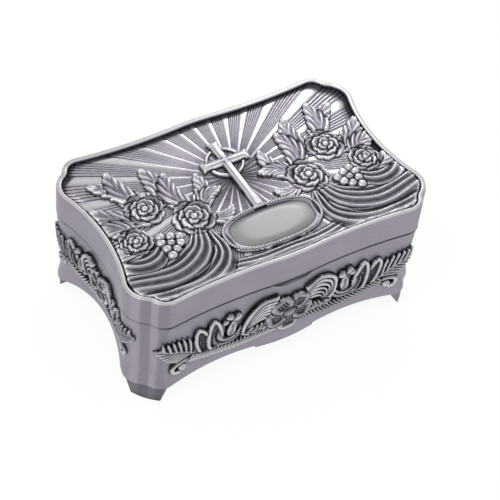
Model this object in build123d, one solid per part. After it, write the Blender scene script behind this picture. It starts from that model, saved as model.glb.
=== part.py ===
from build123d import *
import os
from math import atan2, cos, degrees, hypot, pi, radians, sin, sqrt

os.makedirs("parts", exist_ok=True)

# All sizes are in millimetres. The box stands on z = 0 with its middle over the origin,
# x runs along its length and -y is the front.

# ---- Wavy outline, the same for lid, base, feet and linings --------------------------
length = 80.0               # over the bulges of the two sides
depth = 50.0                # over the corner lobes, front to back
crown_drop = 0.35           # middle of the front lies this far behind the lobes
crown_radius = 70.0
dip_radius = 140.0
lobe_radius = 4.6           # corner lobes of front and back
lobe_setback = 8.0          # from the end of the box to the centre of a lobe
notch_radius = 2.4          # small hollow between a corner lobe and its side bulge
bulge_radius = 6.3          # bulges of the sides, next to the corners
bulge_setback = 8.9         # from the front of the box to the centre of a bulge
waist_inset = 2.6           # hollow in the middle of each side

# ---- Heights ---------------------------------------------------------------------------
foot_height = 4.8
ledge_height = 9.8          # top of the ledge that carries the bottom plate
rim_height = 35.2           # top of the lid's rim
skirt_height = 8.0          # plain band round the lid
seam_gap = 0.25             # dark line between lid and base
seam_chamfer = 0.25         # on both edges of the seam

# ---- Base ------------------------------------------------------------------------------
base_wall = 1.95
base_top_inset = 0.15       # the wall starts this far inside the lid's skirt
base_cove_inset = 1.1       # the wall is drawn in most at the cove
base_cove_height = 9.5
base_hem_inset = 0.25       # and flares again above the feet
ledge_width = 1.2
foot_step = 0.3             # feet stand back from the hem
foot_slant = 0.3            # and lean in this far on their way down
foot_reach = 7.4            # along the outline, from the corner, at the top
foot_taper = 1.6            # the inner sides lean in this far
sole_rounding = 0.45        # the sole's outer edge bulges this far out of its chord

arch_end_setback = 8.0      # the front skirt's arches start this far from the end of the box
arch_crest_setback = 20.0
arch_rise = 1.4
cusp_x = 8.0                # small step where the arches meet the middle drop
cusp_drop = 0.35            # below the crest of the arches
cusp_step = 0.5
drop_rise = 0.15            # lowest point of the middle above the feet's tops
side_arch_setback = 8.0     # the side arches start this far from the front and the back
side_arch_rise = 3.9

thumb_half_width = 6.4      # crescent under the lid's edge, to lift it by
thumb_height = 2.2
thumb_depth = 1.05

# ---- Lid -------------------------------------------------------------------------------
lid_wall = 1.6
rim_width = 1.25
panel_depth = 1.5           # from the rim's top down to the recess
lid_plate = 1.4
rim_rounding = 0.4

# ---- Hinge -----------------------------------------------------------------------------
pin_radius = 0.5
pin_play = 0.05             # radial, a running fit
pin_head_radius = 0.8
pin_head_length = 0.35
knuckle_radius = 1.05
hinge_offset = 0.2          # the axis lies this far behind the middle of the lid's back
hinge_length = 22.0
lid_knuckle_length = 9.6
knuckle_gap = 0.2           # between neighbouring knuckles
knuckle_relief = 0.2        # hollow round a knuckle in the other half
gusset_height = 3.5
open_angle = 100.0          # the heel meets the base wall here
heel_inner = 0.8
heel_outer = 1.3
heel_thickness = 0.8
heel_play = 0.06

# ---- Linings ---------------------------------------------------------------------------
plate_thickness = 1.1
seat_gap = 0.1              # round a plate or pad that drops into a recess
pad_thickness = 1.0
lid_pad_thickness = 0.8
lining_thickness = 0.6
lining_top_gap = 1.4        # bare wall left above the velvet strip

# ---- Relief ----------------------------------------------------------------------------
sunburst_plate = 0.6
ray_height = 0.35
ray_count = 28              # over the full circle
ray_share = 0.55            # of its pitch that a ray covers
ray_start = 4.0
burst_y = 4.0               # the rays spring from here
ornament_top = 1.7          # highest crests above the sunburst plate
spray_height = 1.05
backing_height = 0.5
panel_gap = 0.2             # dark line between rim and panel

frieze_backing = 0.45       # measured out from the wall
frieze_leaf = 1.0
side_leaf = 0.7             # lower on the short walls, whose ends bulge out most
frieze_crest = 1.35

# The motifs are drawn for a wall and a lid of these sizes, and spread with the real ones
drawn_length = 80.0
drawn_depth = 50.0
drawn_wall = 17.45          # from the cove to the top of the base
frieze_centre_rise = 6.4    # of the long friezes' middle above the cove
side_centre_rise = 8.6      # of the short friezes' middle

# ---- Worked out from the values above ----------------------------------------------------
parting = rim_height - skirt_height
base_top = parting - seam_gap
cavity_inset = base_top_inset + base_wall
ledge_inset = cavity_inset + ledge_width
foot_inset = base_hem_inset + foot_step
panel_floor = rim_height - panel_depth
lid_ceiling = panel_floor - lid_plate
plate_top = ledge_height + plate_thickness
hinge_y = depth / 2 - crown_drop + hinge_offset
hinge_z = parting - seam_gap / 2
bore_radius = pin_radius + pin_play
knuckle_inner = lid_knuckle_length / 2 + knuckle_gap
knuckle_outer = hinge_length / 2
panel_top = panel_floor + sunburst_plate
arch_foot_end = length / 2 - arch_end_setback
arch_crest_x = length / 2 - arch_crest_setback
side_arch_half = depth / 2 - side_arch_setback
spread_x = length / drawn_length
spread_y = depth / drawn_depth
spread_z = (base_top - base_cove_height) / drawn_wall
frieze_centre_height = base_cove_height + frieze_centre_rise * spread_z
side_centre_height = base_cove_height + side_centre_rise * spread_z


# ---- Outline -------------------------------------------------------------------------------
def meeting(centre_a, reach_a, centre_b, reach_b):
    """Point at reach_a from centre_a and reach_b from centre_b, on the outer side."""
    dx = centre_b[0] - centre_a[0]
    dy = centre_b[1] - centre_a[1]
    span = hypot(dx, dy)
    along = (reach_a**2 - reach_b**2 + span**2) / (2 * span)
    off = sqrt(reach_a**2 - along**2)
    return (
        centre_a[0] + (dx * along - dy * off) / span,
        centre_a[1] + (dy * along + dx * off) / span,
    )


def quarter_arcs(inset):
    """Centre, radius and side of each tangent arc from the front's middle to the side's."""
    crown = (0.0, depth / 2 - crown_drop - crown_radius)
    lobe = (length / 2 - lobe_setback, depth / 2 - lobe_radius)
    bulge = (length / 2 - bulge_radius, depth / 2 - bulge_setback)
    dip = meeting(crown, crown_radius + dip_radius, lobe, lobe_radius + dip_radius)
    notch = meeting(lobe, lobe_radius + notch_radius, bulge, bulge_radius + notch_radius)
    run = bulge_radius - waist_inset
    waist_radius = (run**2 + bulge[1] ** 2 - bulge_radius**2) / (2 * (bulge_radius - run))
    waist = (length / 2 - waist_inset + waist_radius, 0.0)
    return [
        (crown, crown_radius - inset),
        (dip, dip_radius + inset),
        (lobe, lobe_radius - inset),
        (notch, notch_radius + inset),
        (bulge, bulge_radius - inset),
        (waist, waist_radius + inset),
    ]


def quarter_points(inset):
    """Ends of the arcs, and a point inside each, in the quarter where x and y are positive."""
    arcs = quarter_arcs(inset)
    ends = [(0.0, arcs[0][0][1] + arcs[0][1])]
    for (a, radius_a), (b, radius_b) in zip(arcs[:-1], arcs[1:]):
        share = radius_a / (radius_a + radius_b)
        ends.append((a[0] + (b[0] - a[0]) * share, a[1] + (b[1] - a[1]) * share))
    ends.append((arcs[-1][0][0] - arcs[-1][1], 0.0))
    middles = []
    for (centre, radius), start, end in zip(arcs, ends[:-1], ends[1:]):
        mid = ((start[0] + end[0]) / 2 - centre[0], (start[1] + end[1]) / 2 - centre[1])
        scale_out = radius / hypot(*mid)
        middles.append((centre[0] + mid[0] * scale_out, centre[1] + mid[1] * scale_out))
    return ends, middles


def outline(inset, z):
    """Closed wire of the wavy outline, drawn in by inset, at height z."""
    ends, middles = quarter_points(inset)

    def at(point, sx, sy):
        return (sx * point[0], sy * point[1], z)

    edges = [ThreePointArc(at(ends[1], -1, 1), at(ends[0], 1, 1), at(ends[1], 1, 1))]
    for k in range(1, 5):
        edges.append(ThreePointArc(at(ends[k], 1, 1), at(middles[k], 1, 1), at(ends[k + 1], 1, 1)))
    edges.append(ThreePointArc(at(ends[5], 1, 1), at(ends[6], 1, 1), at(ends[5], 1, -1)))
    for k in range(4, 0, -1):
        edges.append(ThreePointArc(at(ends[k + 1], 1, -1), at(middles[k], 1, -1), at(ends[k], 1, -1)))
    edges.append(ThreePointArc(at(ends[1], 1, -1), at(ends[0], 1, -1), at(ends[1], -1, -1)))
    for k in range(1, 5):
        edges.append(
            ThreePointArc(at(ends[k], -1, -1), at(middles[k], -1, -1), at(ends[k + 1], -1, -1))
        )
    edges.append(ThreePointArc(at(ends[5], -1, -1), at(ends[6], -1, 1), at(ends[5], -1, 1)))
    for k in range(4, 0, -1):
        edges.append(ThreePointArc(at(ends[k + 1], -1, 1), at(middles[k], -1, 1), at(ends[k], -1, 1)))
    return Wire(edges)


def prism(inset, low, high):
    """Upright block with the wavy outline."""
    return extrude(Face(outline(inset, low)), high - low, dir=(0, 0, 1))


def drafted(levels):
    """Block whose outline changes its inset from level to level, given as (z, inset)."""
    return Solid.make_loft([outline(inset, z) for z, inset in levels], ruled=True)


# ---- Base shell ----------------------------------------------------------------------------
def wall_levels(proud):
    """Levels of the base wall's outer face, moved out by proud."""
    return [
        (foot_height, base_hem_inset - proud),
        (base_cove_height, base_cove_inset - proud),
        (base_top - seam_chamfer, base_top_inset - proud),
        (base_top, base_top_inset + seam_chamfer - proud),
    ]


def front_arches():
    """Space under the front and back skirts, right through the box."""
    crest = foot_height + arch_rise
    cusp = crest - cusp_drop
    y = -depth
    edges = []
    for side in (1, -1):
        edges.append(Line((side * arch_foot_end, y, 0), (side * arch_foot_end, y, foot_height)))
        edges.append(
            ThreePointArc(
                (side * arch_foot_end, y, foot_height),
                (side * arch_crest_x, y, crest),
                (side * cusp_x, y, cusp),
            )
        )
        edges.append(Line((side * cusp_x, y, cusp), (side * cusp_x, y, cusp - cusp_step)))
    drop = foot_height + drop_rise
    edges.append(
        ThreePointArc(
            (cusp_x, y, cusp - cusp_step), (0, y, drop), (-cusp_x, y, cusp - cusp_step)
        )
    )
    edges.append(Line((-arch_foot_end, y, 0), (arch_foot_end, y, 0)))
    return extrude(Face(Wire(edges)), 2 * depth, dir=(0, 1, 0))


def side_arches():
    """Space under the two side skirts, right through the box."""
    x = -length
    low = (x, -side_arch_half, foot_height)
    high = (x, side_arch_half, foot_height)
    edges = [
        ThreePointArc(low, (x, 0, foot_height + side_arch_rise), high),
        Line(high, (x, side_arch_half, 0)),
        Line((x, side_arch_half, 0), (x, -side_arch_half, 0)),
        Line((x, -side_arch_half, 0), low),
    ]
    return extrude(Face(Wire(edges)), 2 * length, dir=(1, 0, 0))


def thumb_notch():
    """Ball that leaves a crescent in the front wall, just under the lid."""
    wall_y = -(depth / 2 - crown_drop - base_top_inset)
    ring = (thumb_half_width**2 + thumb_height**2) / (2 * thumb_height)
    above = ring - thumb_height
    away = (ring**2 - above**2 - thumb_depth**2) / (2 * thumb_depth)
    ball_radius = sqrt(ring**2 + away**2)
    return Pos(0, wall_y - away, base_top + above) * Sphere(ball_radius)


def barrel(radius, start, end):
    """Round bar along the hinge axis from x = start to x = end."""
    middle = (start + end) / 2
    return Pos(middle, hinge_y, hinge_z) * Rot(0, 90, 0) * Cylinder(radius, end - start)


def gusset(start, end, rise):
    """Web that carries a knuckle on the wall above (rise > 0) or below (rise < 0) the axis."""
    root = depth / 2 - crown_drop - base_wall
    points = [
        (start, root, hinge_z),
        (start, hinge_y + knuckle_radius, hinge_z),
        (start, root, hinge_z + rise),
    ]
    return extrude(Face(Wire.make_polygon(points)), end - start, dir=(1, 0, 0))


def base_shell():
    wall = drafted(wall_levels(0))
    wall -= prism(cavity_inset, ledge_height, base_top + 1)
    wall -= prism(ledge_inset, 0, base_top)
    wall -= front_arches()
    wall -= side_arches()
    wall -= thumb_notch()
    wall -= barrel(knuckle_radius + knuckle_relief, -knuckle_inner, knuckle_inner)
    clear = prism(cavity_inset, ledge_height, parting + 1)
    for side in (1, -1):
        start, end = sorted((side * knuckle_inner, side * knuckle_outer))
        knuckle = barrel(knuckle_radius, start, end) + gusset(start, end, -gusset_height)
        wall += knuckle - clear
        wall -= barrel(bore_radius, start, end)
    return wall


# ---- Feet ------------------------------------------------------------------------------------
def foot_section(sx, sy, z, inset, reach, bulge_out=None):
    """Section of a foot: two straight inner edges and one arc across the corner.

    The arc follows the wavy outline, or stands bulge_out in front of its own chord.
    """
    _, middles = quarter_points(inset)
    corner_x, corner_y = middles[3]
    bulge_x, bulge_y = length / 2 - bulge_radius, depth / 2 - bulge_setback
    inner_x = length / 2 - inset - reach
    inner_y = depth / 2 - inset - reach
    side_x = bulge_x + sqrt((bulge_radius - inset) ** 2 - (inner_y - bulge_y) ** 2)
    if bulge_out is not None:
        out_x = depth / 2 - inset - inner_y
        out_y = side_x - inner_x
        span = hypot(out_x, out_y)
        corner_x = (inner_x + side_x) / 2 + bulge_out * out_x / span
        corner_y = (depth / 2 - inset + inner_y) / 2 + bulge_out * out_y / span
    front = (sx * inner_x, sy * (depth / 2 - inset), z)
    side_end = (sx * side_x, sy * inner_y, z)
    inner = (sx * inner_x, sy * inner_y, z)
    edges = [
        ThreePointArc(front, (sx * corner_x, sy * corner_y, z), side_end),
        Line(side_end, inner),
        Line(inner, front),
    ]
    return Wire(edges)


def foot(sx, sy):
    """Tapered foot in the corner that sx and sy point to."""
    top = foot_section(sx, sy, foot_height, foot_inset, foot_reach)
    floor_inset = foot_inset + foot_slant
    reach = foot_reach - foot_slant - foot_taper
    bottom = foot_section(sx, sy, 0, floor_inset, reach, sole_rounding)
    return Solid.make_loft([bottom, top], ruled=True)


# ---- Lid shell -------------------------------------------------------------------------------
def heel():
    """Nib behind the lid's knuckle, flat where it meets the base wall at the open angle."""
    reach = hinge_y - (depth / 2 - crown_drop - base_top_inset) - heel_play
    turn = radians(open_angle)

    def closed(y, z):
        """Where a point given in the open lid lies with the lid closed."""
        return (
            -lid_knuckle_length / 2,
            hinge_y + y * cos(turn) - z * sin(turn),
            hinge_z + y * sin(turn) + z * cos(turn),
        )

    points = [
        closed(0, -heel_inner / 2),
        closed(-reach, -heel_inner),
        closed(-reach, -heel_outer),
        closed(heel_thickness - reach, -heel_outer),
        closed(heel_thickness, 0),
    ]
    return extrude(Face(Wire.make_polygon(points)), lid_knuckle_length, dir=(1, 0, 0))


def lid_shell():
    body = drafted(
        [
            (parting, seam_chamfer),
            (parting + seam_chamfer, 0),
            (rim_height - rim_rounding, 0),
            (rim_height - 0.3 * rim_rounding, 0.3 * rim_rounding),
            (rim_height, rim_rounding),
        ]
    )
    body -= prism(lid_wall, parting - 1, lid_ceiling)
    body -= drafted(
        [
            (panel_floor, rim_width),
            (rim_height - rim_rounding / 2, rim_width),
            (rim_height + rim_rounding / 2, rim_width - rim_rounding),
        ]
    )
    for side in (1, -1):
        start, end = sorted((side * (knuckle_inner - knuckle_gap), side * (knuckle_outer + 1)))
        body -= barrel(knuckle_radius + knuckle_relief, start, end)
    half = lid_knuckle_length / 2
    knuckle = barrel(knuckle_radius, -half, half) + gusset(-half, half, gusset_height) + heel()
    body += knuckle - prism(lid_wall, parting - 1, lid_ceiling)
    body -= barrel(bore_radius, -half, half)
    return body


def hinge_pin():
    pin = barrel(pin_radius, -knuckle_outer - pin_play, knuckle_outer + pin_play)
    for side in (1, -1):
        start, end = sorted(
            (side * (knuckle_outer + pin_play), side * (knuckle_outer + pin_play + pin_head_length))
        )
        pin += barrel(pin_head_radius, start, end)
    return pin


# ---- Plates and linings ------------------------------------------------------------------------
def bottom_plate():
    return prism(cavity_inset + seat_gap, ledge_height, plate_top)


def base_wall_lining():
    outer = cavity_inset + seat_gap
    high = base_top - lining_top_gap
    ring = prism(outer, plate_top, high)
    return ring - prism(outer + lining_thickness, plate_top - 1, high + 1)


def base_floor_pad():
    inset = cavity_inset + lining_thickness + 2 * seat_gap
    return prism(inset, plate_top, plate_top + pad_thickness)


def lid_pad():
    return prism(lid_wall + seat_gap, lid_ceiling - lid_pad_thickness, lid_ceiling)


# ---- Relief --------------------------------------------------------------------------------------
def leaf(base, tip, width):
    """Pointed leaf between two points of a sketch."""
    dx = tip[0] - base[0]
    dy = tip[1] - base[1]
    span = hypot(dx, dy)
    side = (-dy / span * width / 2, dx / span * width / 2)
    middle = ((base[0] + tip[0]) / 2, (base[1] + tip[1]) / 2)
    left = (middle[0] + side[0], middle[1] + side[1])
    right = (middle[0] - side[0], middle[1] - side[1])
    return make_face([ThreePointArc(base, left, tip), ThreePointArc(tip, right, base)])


def leaves_of(motifs, along, up):
    """The leaves of a list of motifs, whose ends are moved apart by along and up."""
    return [
        leaf((base[0] * along, base[1] * up), (tip[0] * along, tip[1] * up), width)
        for base, tip, width in motifs
    ]


def spread(points, along, up):
    return [(x * along, y * up) for x, y in points]


def disc(centre, radius):
    return Pos(*centre) * Circle(radius)


def mirrored(shapes):
    """The shapes and their mirror images across the sketch's upright axis, as one sketch."""
    joined = shapes[0] + shapes[1:]
    return joined + mirror(joined, Plane.YZ)


# Motifs of the long frieze for x > 0, as (base, tip, width), measured from its own centre
long_leaves = [
    ((24.4, -3.4), (34.6, 3.8), 7.4),
    ((21.6, -4.4), (24.6, 5.4), 4.2),
    ((20.0, -4.6), (20.2, 6.2), 4.2),
    ((12.6, -3.6), (4.4, -0.8), 3.2),
    ((10.6, -3.0), (3.6, 6.4), 6.6),
    ((11.6, -3.2), (9.6, 7.4), 5.6),
]
long_stem = [(3.0, -4.4), (9.0, -5.4), (15.0, -5.7), (21.0, -4.9), (26.4, -3.6)]
stem_width = 2.5
long_cup = ((16.4, -0.6), 4.4)
long_balls = [((14.7, 4.9), 1.8), ((17.1, 4.4), 1.4)]
long_hook = [(26.4, -3.6), (29.0, -3.5), (30.9, -4.8), (30.8, -6.4), (29.2, -7.0)]
hook_width = 1.6
hook_ball = ((28.4, -5.6), 1.15)
long_flower = (0.0, -0.6)
petal_ring = 3.8
petal_radius = 2.4
boss_radius = 1.8

# The same for the short friezes
short_leaves = [
    ((11.4, -2.4), (19.0, 3.6), 6.0),
    ((9.4, -3.2), (12.0, 5.0), 3.6),
    ((5.6, -2.2), (2.6, 5.4), 4.6),
    ((6.0, -2.2), (6.2, 5.6), 3.0),
]
short_stem = [(1.0, -3.8), (5.0, -4.4), (9.0, -4.3), (12.6, -3.0)]
short_cup = ((8.4, -0.2), 3.0)
short_balls = [((7.9, 3.2), 1.4)]
short_hook = [(12.6, -3.0), (14.8, -2.9), (16.6, -4.0), (16.4, -5.4), (15.2, -5.8)]
short_hook_ball = ((14.6, -4.6), 0.95)
short_flower = (0.0, -0.2)
short_petal_ring = 2.8
short_petal_radius = 1.75
short_boss_radius = 1.3


def stem(points, width):
    """Band of even width along a bent line, with round ends."""
    band = disc(points[0], width / 2)
    for a, b in zip(points[:-1], points[1:]):
        dx = b[0] - a[0]
        dy = b[1] - a[1]
        middle = ((a[0] + b[0]) / 2, (a[1] + b[1]) / 2)
        bar = Pos(*middle) * Rot(0, 0, degrees(atan2(dy, dx))) * Rectangle(hypot(dx, dy), width)
        band += [bar, disc(b, width / 2)]
    return band


def blossom(centre, ring, radius):
    """Five round petals, one of them pointing down."""
    petals = [
        disc((centre[0] + ring * sin(2 * pi * k / 5), centre[1] - ring * cos(2 * pi * k / 5)), radius)
        for k in range(5)
    ]
    return disc(centre, ring) + petals


def spray_sketches(along, parts):
    """Sketches of a frieze: low backing, leaves, and highest parts."""
    leaves_list, stalk_line, cup, balls, hook, hook_end, flower, boss = parts

    def at(point):
        return (point[0] * along, point[1] * spread_z)

    stalk = stem(spread(stalk_line, along, spread_z), stem_width)
    curl = stem(spread(hook, along, spread_z), hook_width)
    rounds = [disc(at(centre), radius) for centre, radius in balls + [cup, hook_end]]
    leaves = mirrored(leaves_of(leaves_list, along, spread_z) + [curl] + rounds) + flower
    crests = [disc(at(centre), 0.6 * radius) for centre, radius in balls + [hook_end]]
    return mirrored([stalk]) + leaves, leaves, mirrored(crests) + boss


def long_sketches():
    centre = (long_flower[0], long_flower[1] * spread_z)
    parts = (long_leaves, long_stem, long_cup, long_balls, long_hook, hook_ball,
             blossom(centre, petal_ring, petal_radius), disc(centre, boss_radius))
    return spray_sketches(spread_x, parts)


def short_sketches():
    centre = (short_flower[0], short_flower[1] * spread_z)
    parts = (short_leaves, short_stem, short_cup, short_balls, short_hook, short_hook_ball,
             blossom(centre, short_petal_ring, short_petal_radius), disc(centre, short_boss_radius))
    return spray_sketches(spread_y, parts)


def frieze(sketches, plane, leaf):
    """Relief that lies on the wall: each sketch pushed through its own layer over the wall."""
    wall = drafted(wall_levels(0))
    relief = None
    for sketch, proud in zip(sketches, (frieze_backing, leaf, frieze_crest)):
        layer = drafted(wall_levels(proud)) - wall
        cutter = extrude(plane * sketch, length)
        piece = cutter & layer
        relief = piece if relief is None else relief + piece
    return relief


def frieze_plane(x_dir, normal, height):
    return Plane(origin=(0, 0, height), x_dir=x_dir, z_dir=normal)


# Motifs of the lid's ornament for x > 0
spray_flowers = [((15.5, -4.0), 5.0), ((24.6, 3.0), 4.6), ((31.0, -5.4), 3.9)]
spray_grapes = [((24.6, -8.6), 2.3), ((22.6, -10.6), 1.7)]
spray_leaves = [
    ((24.0, 1.0), (36.0, 8.4), 6.6),
    ((24.5, 3.0), (33.6, 15.0), 6.2),
    ((23.5, 3.0), (27.4, 17.6), 5.8),
    ((21.0, 2.0), (19.8, 15.4), 5.8),
    ((14.5, -2.0), (15.0, 11.8), 5.6),
    ((13.5, -2.0), (8.6, 8.4), 4.8),
    ((29.0, -5.0), (37.4, 2.2), 6.0),
    ((12.0, -3.0), (5.0, 1.8), 4.2),
    ((12.4, -6.0), (5.4, -4.6), 4.0),
    ((29.0, -7.0), (37.8, -4.4), 4.6),
]
spray_drapes = [
    ([(15.5, -9.0), (16.8, -15.4), (23.5, -19.2), (37.0, -19.4)], 7.2),
    ([(17.0, -7.5), (20.5, -12.8), (27.5, -15.6), (38.0, -14.6)], 7.0),
    ([(26.0, -8.4), (30.0, -11.0), (38.0, -9.4)], 5.0),
]
spray_stem = [(7.0, -11.0), (15.5, -4.0), (24.6, 3.0), (31.0, -5.4)]
spray_stem_width = 3.6
cartouche_y = -13.4
cartouche_half = (13.0, 6.4)
cross_foot = -8.0
cross_top = 15.5
cross_arm_y = 8.8
cross_arm_half = 6.4
cross_width = 2.4
cross_end_radius = 1.7
halo_radius = 4.2
halo_width = 0.9


def cross_sketch():
    foot_y = cross_foot * spread_y
    top_y = cross_top * spread_y
    arm_y = cross_arm_y * spread_y
    upright = Pos(0, (foot_y + top_y) / 2) * Rectangle(cross_width, top_y - foot_y)
    arms = Pos(0, arm_y) * Rectangle(2 * cross_arm_half, cross_width)
    ends = [disc((0, top_y), cross_end_radius)]
    ends += [disc((side * cross_arm_half, arm_y), cross_end_radius) for side in (1, -1)]
    halo = disc((0, arm_y), halo_radius) - disc((0, arm_y), halo_radius - halo_width)
    return upright + [arms, halo] + ends


def ornament_sketches():
    """Sketches of the lid's ornament: low backing, leaves and cross, flowers and grapes."""
    cartouche = Pos(0, cartouche_y * spread_y) * Ellipse(*cartouche_half)
    leaves = mirrored(leaves_of(spray_leaves, spread_x, spread_y)) + cross_sketch()
    leaves += mirrored([stem(spread(p, spread_x, spread_y), w) for p, w in spray_drapes])
    rounds = spray_flowers + spray_grapes
    flowers = mirrored([disc((x * spread_x, y * spread_y), r) for (x, y), r in rounds])
    stems = mirrored([stem(spread(spray_stem, spread_x, spread_y), spray_stem_width)])
    return cartouche + leaves + flowers + stems, leaves, flowers


def lid_ornament(sketches):
    room = prism(rim_width + panel_gap, panel_top, panel_top + ornament_top)
    piece = None
    for sketch, rise in zip(sketches, (backing_height, spray_height, ornament_top)):
        layer = extrude(Pos(0, 0, panel_top) * sketch, rise, dir=(0, 0, 1))
        piece = layer if piece is None else piece + layer
    return piece & room


def lid_sunburst(covered):
    """Panel with rays that stop where the ornament covers it."""
    plate = prism(rim_width + panel_gap, panel_floor, panel_top)
    pitch = 2 * pi / ray_count
    rays = []
    for k in range(ray_count):
        low = k * pitch
        high = low + ray_share * pitch
        corners = [
            (ray_start * cos(low), burst_y + ray_start * sin(low)),
            (length * cos(low), burst_y + length * sin(low)),
            (length * cos(high), burst_y + length * sin(high)),
            (ray_start * cos(high), burst_y + ray_start * sin(high)),
        ]
        rays.append(make_face(Polyline(*corners, close=True)))
    open_area = Sketch() + Face(outline(rim_width + panel_gap, 0)) - covered
    sketch = (Sketch() + rays) & open_area
    return plate + extrude(Pos(0, 0, panel_top) * sketch, ray_height, dir=(0, 0, 1))


# ---- Write every piece -----------------------------------------------------------------------------
ornament = ornament_sketches()
front_plane = frieze_plane((1, 0, 0), (0, -1, 0), frieze_centre_height)
side_plane = frieze_plane((0, 1, 0), (1, 0, 0), side_centre_height)
front = frieze(long_sketches(), front_plane, frieze_leaf)
side = frieze(short_sketches(), side_plane, side_leaf)
half_turn = Rot(0, 0, 180)
pieces = {
    "base_shell": base_shell(),
    "foot_front_left": foot(-1, -1),
    "foot_front_right": foot(1, -1),
    "foot_back_left": foot(-1, 1),
    "foot_back_right": foot(1, 1),
    "bottom_plate": bottom_plate(),
    "base_wall_lining": base_wall_lining(),
    "base_floor_pad": base_floor_pad(),
    "hinge_pin": hinge_pin(),
    "front_frieze": front,
    "back_frieze": half_turn * front,
    "right_frieze": side,
    "left_frieze": half_turn * side,
    "lid_shell": lid_shell(),
    "lid_pad": lid_pad(),
    "lid_sunburst": lid_sunburst(ornament[0]),
    "lid_ornament": lid_ornament(ornament),
}
for name, piece in pieces.items():
    export_step(piece, f"parts/{name}.step")
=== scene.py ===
# %% [markdown]
# # A cast pewter rosary box
#
# This lesson dresses the CAD model of a small hinged box in Blender. The real box is
# cast in pewter, brushed on its plain bands, blackened in its hollows and polished on
# its crests. The CAD model is the fixed frame: it says where every piece is, and which
# body it moves with. The frame is loaded first.

# %% Load the imported model
from math import atan2, cos, pi, radians, sin, sqrt

import bpy
import numpy as np
from mathutils import Matrix, Vector


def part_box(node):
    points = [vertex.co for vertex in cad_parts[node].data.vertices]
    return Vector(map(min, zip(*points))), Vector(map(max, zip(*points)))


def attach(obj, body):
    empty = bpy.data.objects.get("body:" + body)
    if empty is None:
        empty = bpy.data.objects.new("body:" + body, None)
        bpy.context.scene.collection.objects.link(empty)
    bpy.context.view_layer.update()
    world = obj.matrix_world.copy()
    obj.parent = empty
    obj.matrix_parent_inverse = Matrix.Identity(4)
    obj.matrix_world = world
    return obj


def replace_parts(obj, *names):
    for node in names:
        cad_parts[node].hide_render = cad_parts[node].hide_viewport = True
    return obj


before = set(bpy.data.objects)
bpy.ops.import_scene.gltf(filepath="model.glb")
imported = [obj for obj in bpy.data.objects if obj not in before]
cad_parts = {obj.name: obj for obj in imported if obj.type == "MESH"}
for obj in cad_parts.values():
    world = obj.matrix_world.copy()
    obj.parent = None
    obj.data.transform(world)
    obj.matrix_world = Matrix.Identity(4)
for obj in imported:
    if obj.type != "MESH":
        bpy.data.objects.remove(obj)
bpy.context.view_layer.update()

# %% [markdown]
# ## Sizes
#
# The pieces made here lie on the CAD's surfaces, so they need the same wavy outline.
# It is a chain of arcs that run smoothly into each other, and it is worked out again
# here from its few driving sizes. All sizes are in millimetres until a mesh is made.

# %% Driving sizes of the box
MM = 0.001
LENGTH, DEPTH = 80.0, 50.0
CROWN_DROP, CROWN_RADIUS, DIP_RADIUS = 0.35, 70.0, 140.0
LOBE_RADIUS, LOBE_SETBACK, NOTCH_RADIUS = 4.6, 8.0, 2.4
BULGE_RADIUS, BULGE_SETBACK, WAIST_INSET = 6.3, 8.9, 2.6
BASE_LEVELS = ((4.8, 0.25), (9.5, 1.1), (26.7, 0.15), (26.95, 0.4))  # height, inset
RIM_TOP, RIM_WIDTH, PANEL_TOP, PANEL_FLOOR = 35.2, 1.25, 34.3, 33.7
PANEL_INSET = 1.45
FRIEZE_CENTRE, SIDE_FRIEZE_CENTRE, SEAM_LEVEL = 15.9, 18.1, 27.0


def meeting(centre_a, reach_a, centre_b, reach_b):
    """Point at reach_a from centre_a and reach_b from centre_b, on the outer side."""
    a, b = np.array(centre_a), np.array(centre_b)
    span = np.hypot(*(b - a))
    along = (reach_a**2 - reach_b**2 + span**2) / (2 * span)
    off = sqrt(reach_a**2 - along**2)
    unit = (b - a) / span
    return a + along * unit + off * np.array((-unit[1], unit[0]))


def quarter_outline(steps=48):
    """Points and outward normals of a quarter of the outline, from the front's middle."""
    crown = np.array((0.0, DEPTH / 2 - CROWN_DROP - CROWN_RADIUS))
    lobe = np.array((LENGTH / 2 - LOBE_SETBACK, DEPTH / 2 - LOBE_RADIUS))
    bulge = np.array((LENGTH / 2 - BULGE_RADIUS, DEPTH / 2 - BULGE_SETBACK))
    dip = meeting(crown, CROWN_RADIUS + DIP_RADIUS, lobe, LOBE_RADIUS + DIP_RADIUS)
    notch = meeting(lobe, LOBE_RADIUS + NOTCH_RADIUS, bulge, BULGE_RADIUS + NOTCH_RADIUS)
    run = BULGE_RADIUS - WAIST_INSET
    waist_radius = (run**2 + bulge[1] ** 2 - BULGE_RADIUS**2) / (2 * (BULGE_RADIUS - run))
    waist = np.array((LENGTH / 2 - WAIST_INSET + waist_radius, 0.0))
    arcs = [(crown, CROWN_RADIUS, 1), (dip, DIP_RADIUS, -1), (lobe, LOBE_RADIUS, 1),
            (notch, NOTCH_RADIUS, -1), (bulge, BULGE_RADIUS, 1), (waist, waist_radius, -1)]
    ends = [np.array((0.0, DEPTH / 2 - CROWN_DROP))]
    for (a, ra, _), (b, rb, _) in zip(arcs[:-1], arcs[1:]):
        ends.append(a + (b - a) * ra / (ra + rb))
    ends.append(np.array((LENGTH / 2 - WAIST_INSET, 0.0)))
    points, normals = [], []
    for (centre, radius, side), start, end in zip(arcs, ends[:-1], ends[1:]):
        first = atan2(*(start - centre)[::-1])
        turn = (atan2(*(end - centre)[::-1]) - first + pi) % (2 * pi) - pi
        angles = first + turn * np.arange(steps) / steps
        spokes = np.stack([np.cos(angles), np.sin(angles)], 1)
        points.append(centre + radius * spokes)
        normals.append(side * spokes)
    points.append(ends[-1][None])
    normals.append(np.array([[1.0, 0.0]]))
    return np.concatenate(points), np.concatenate(normals)


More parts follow.
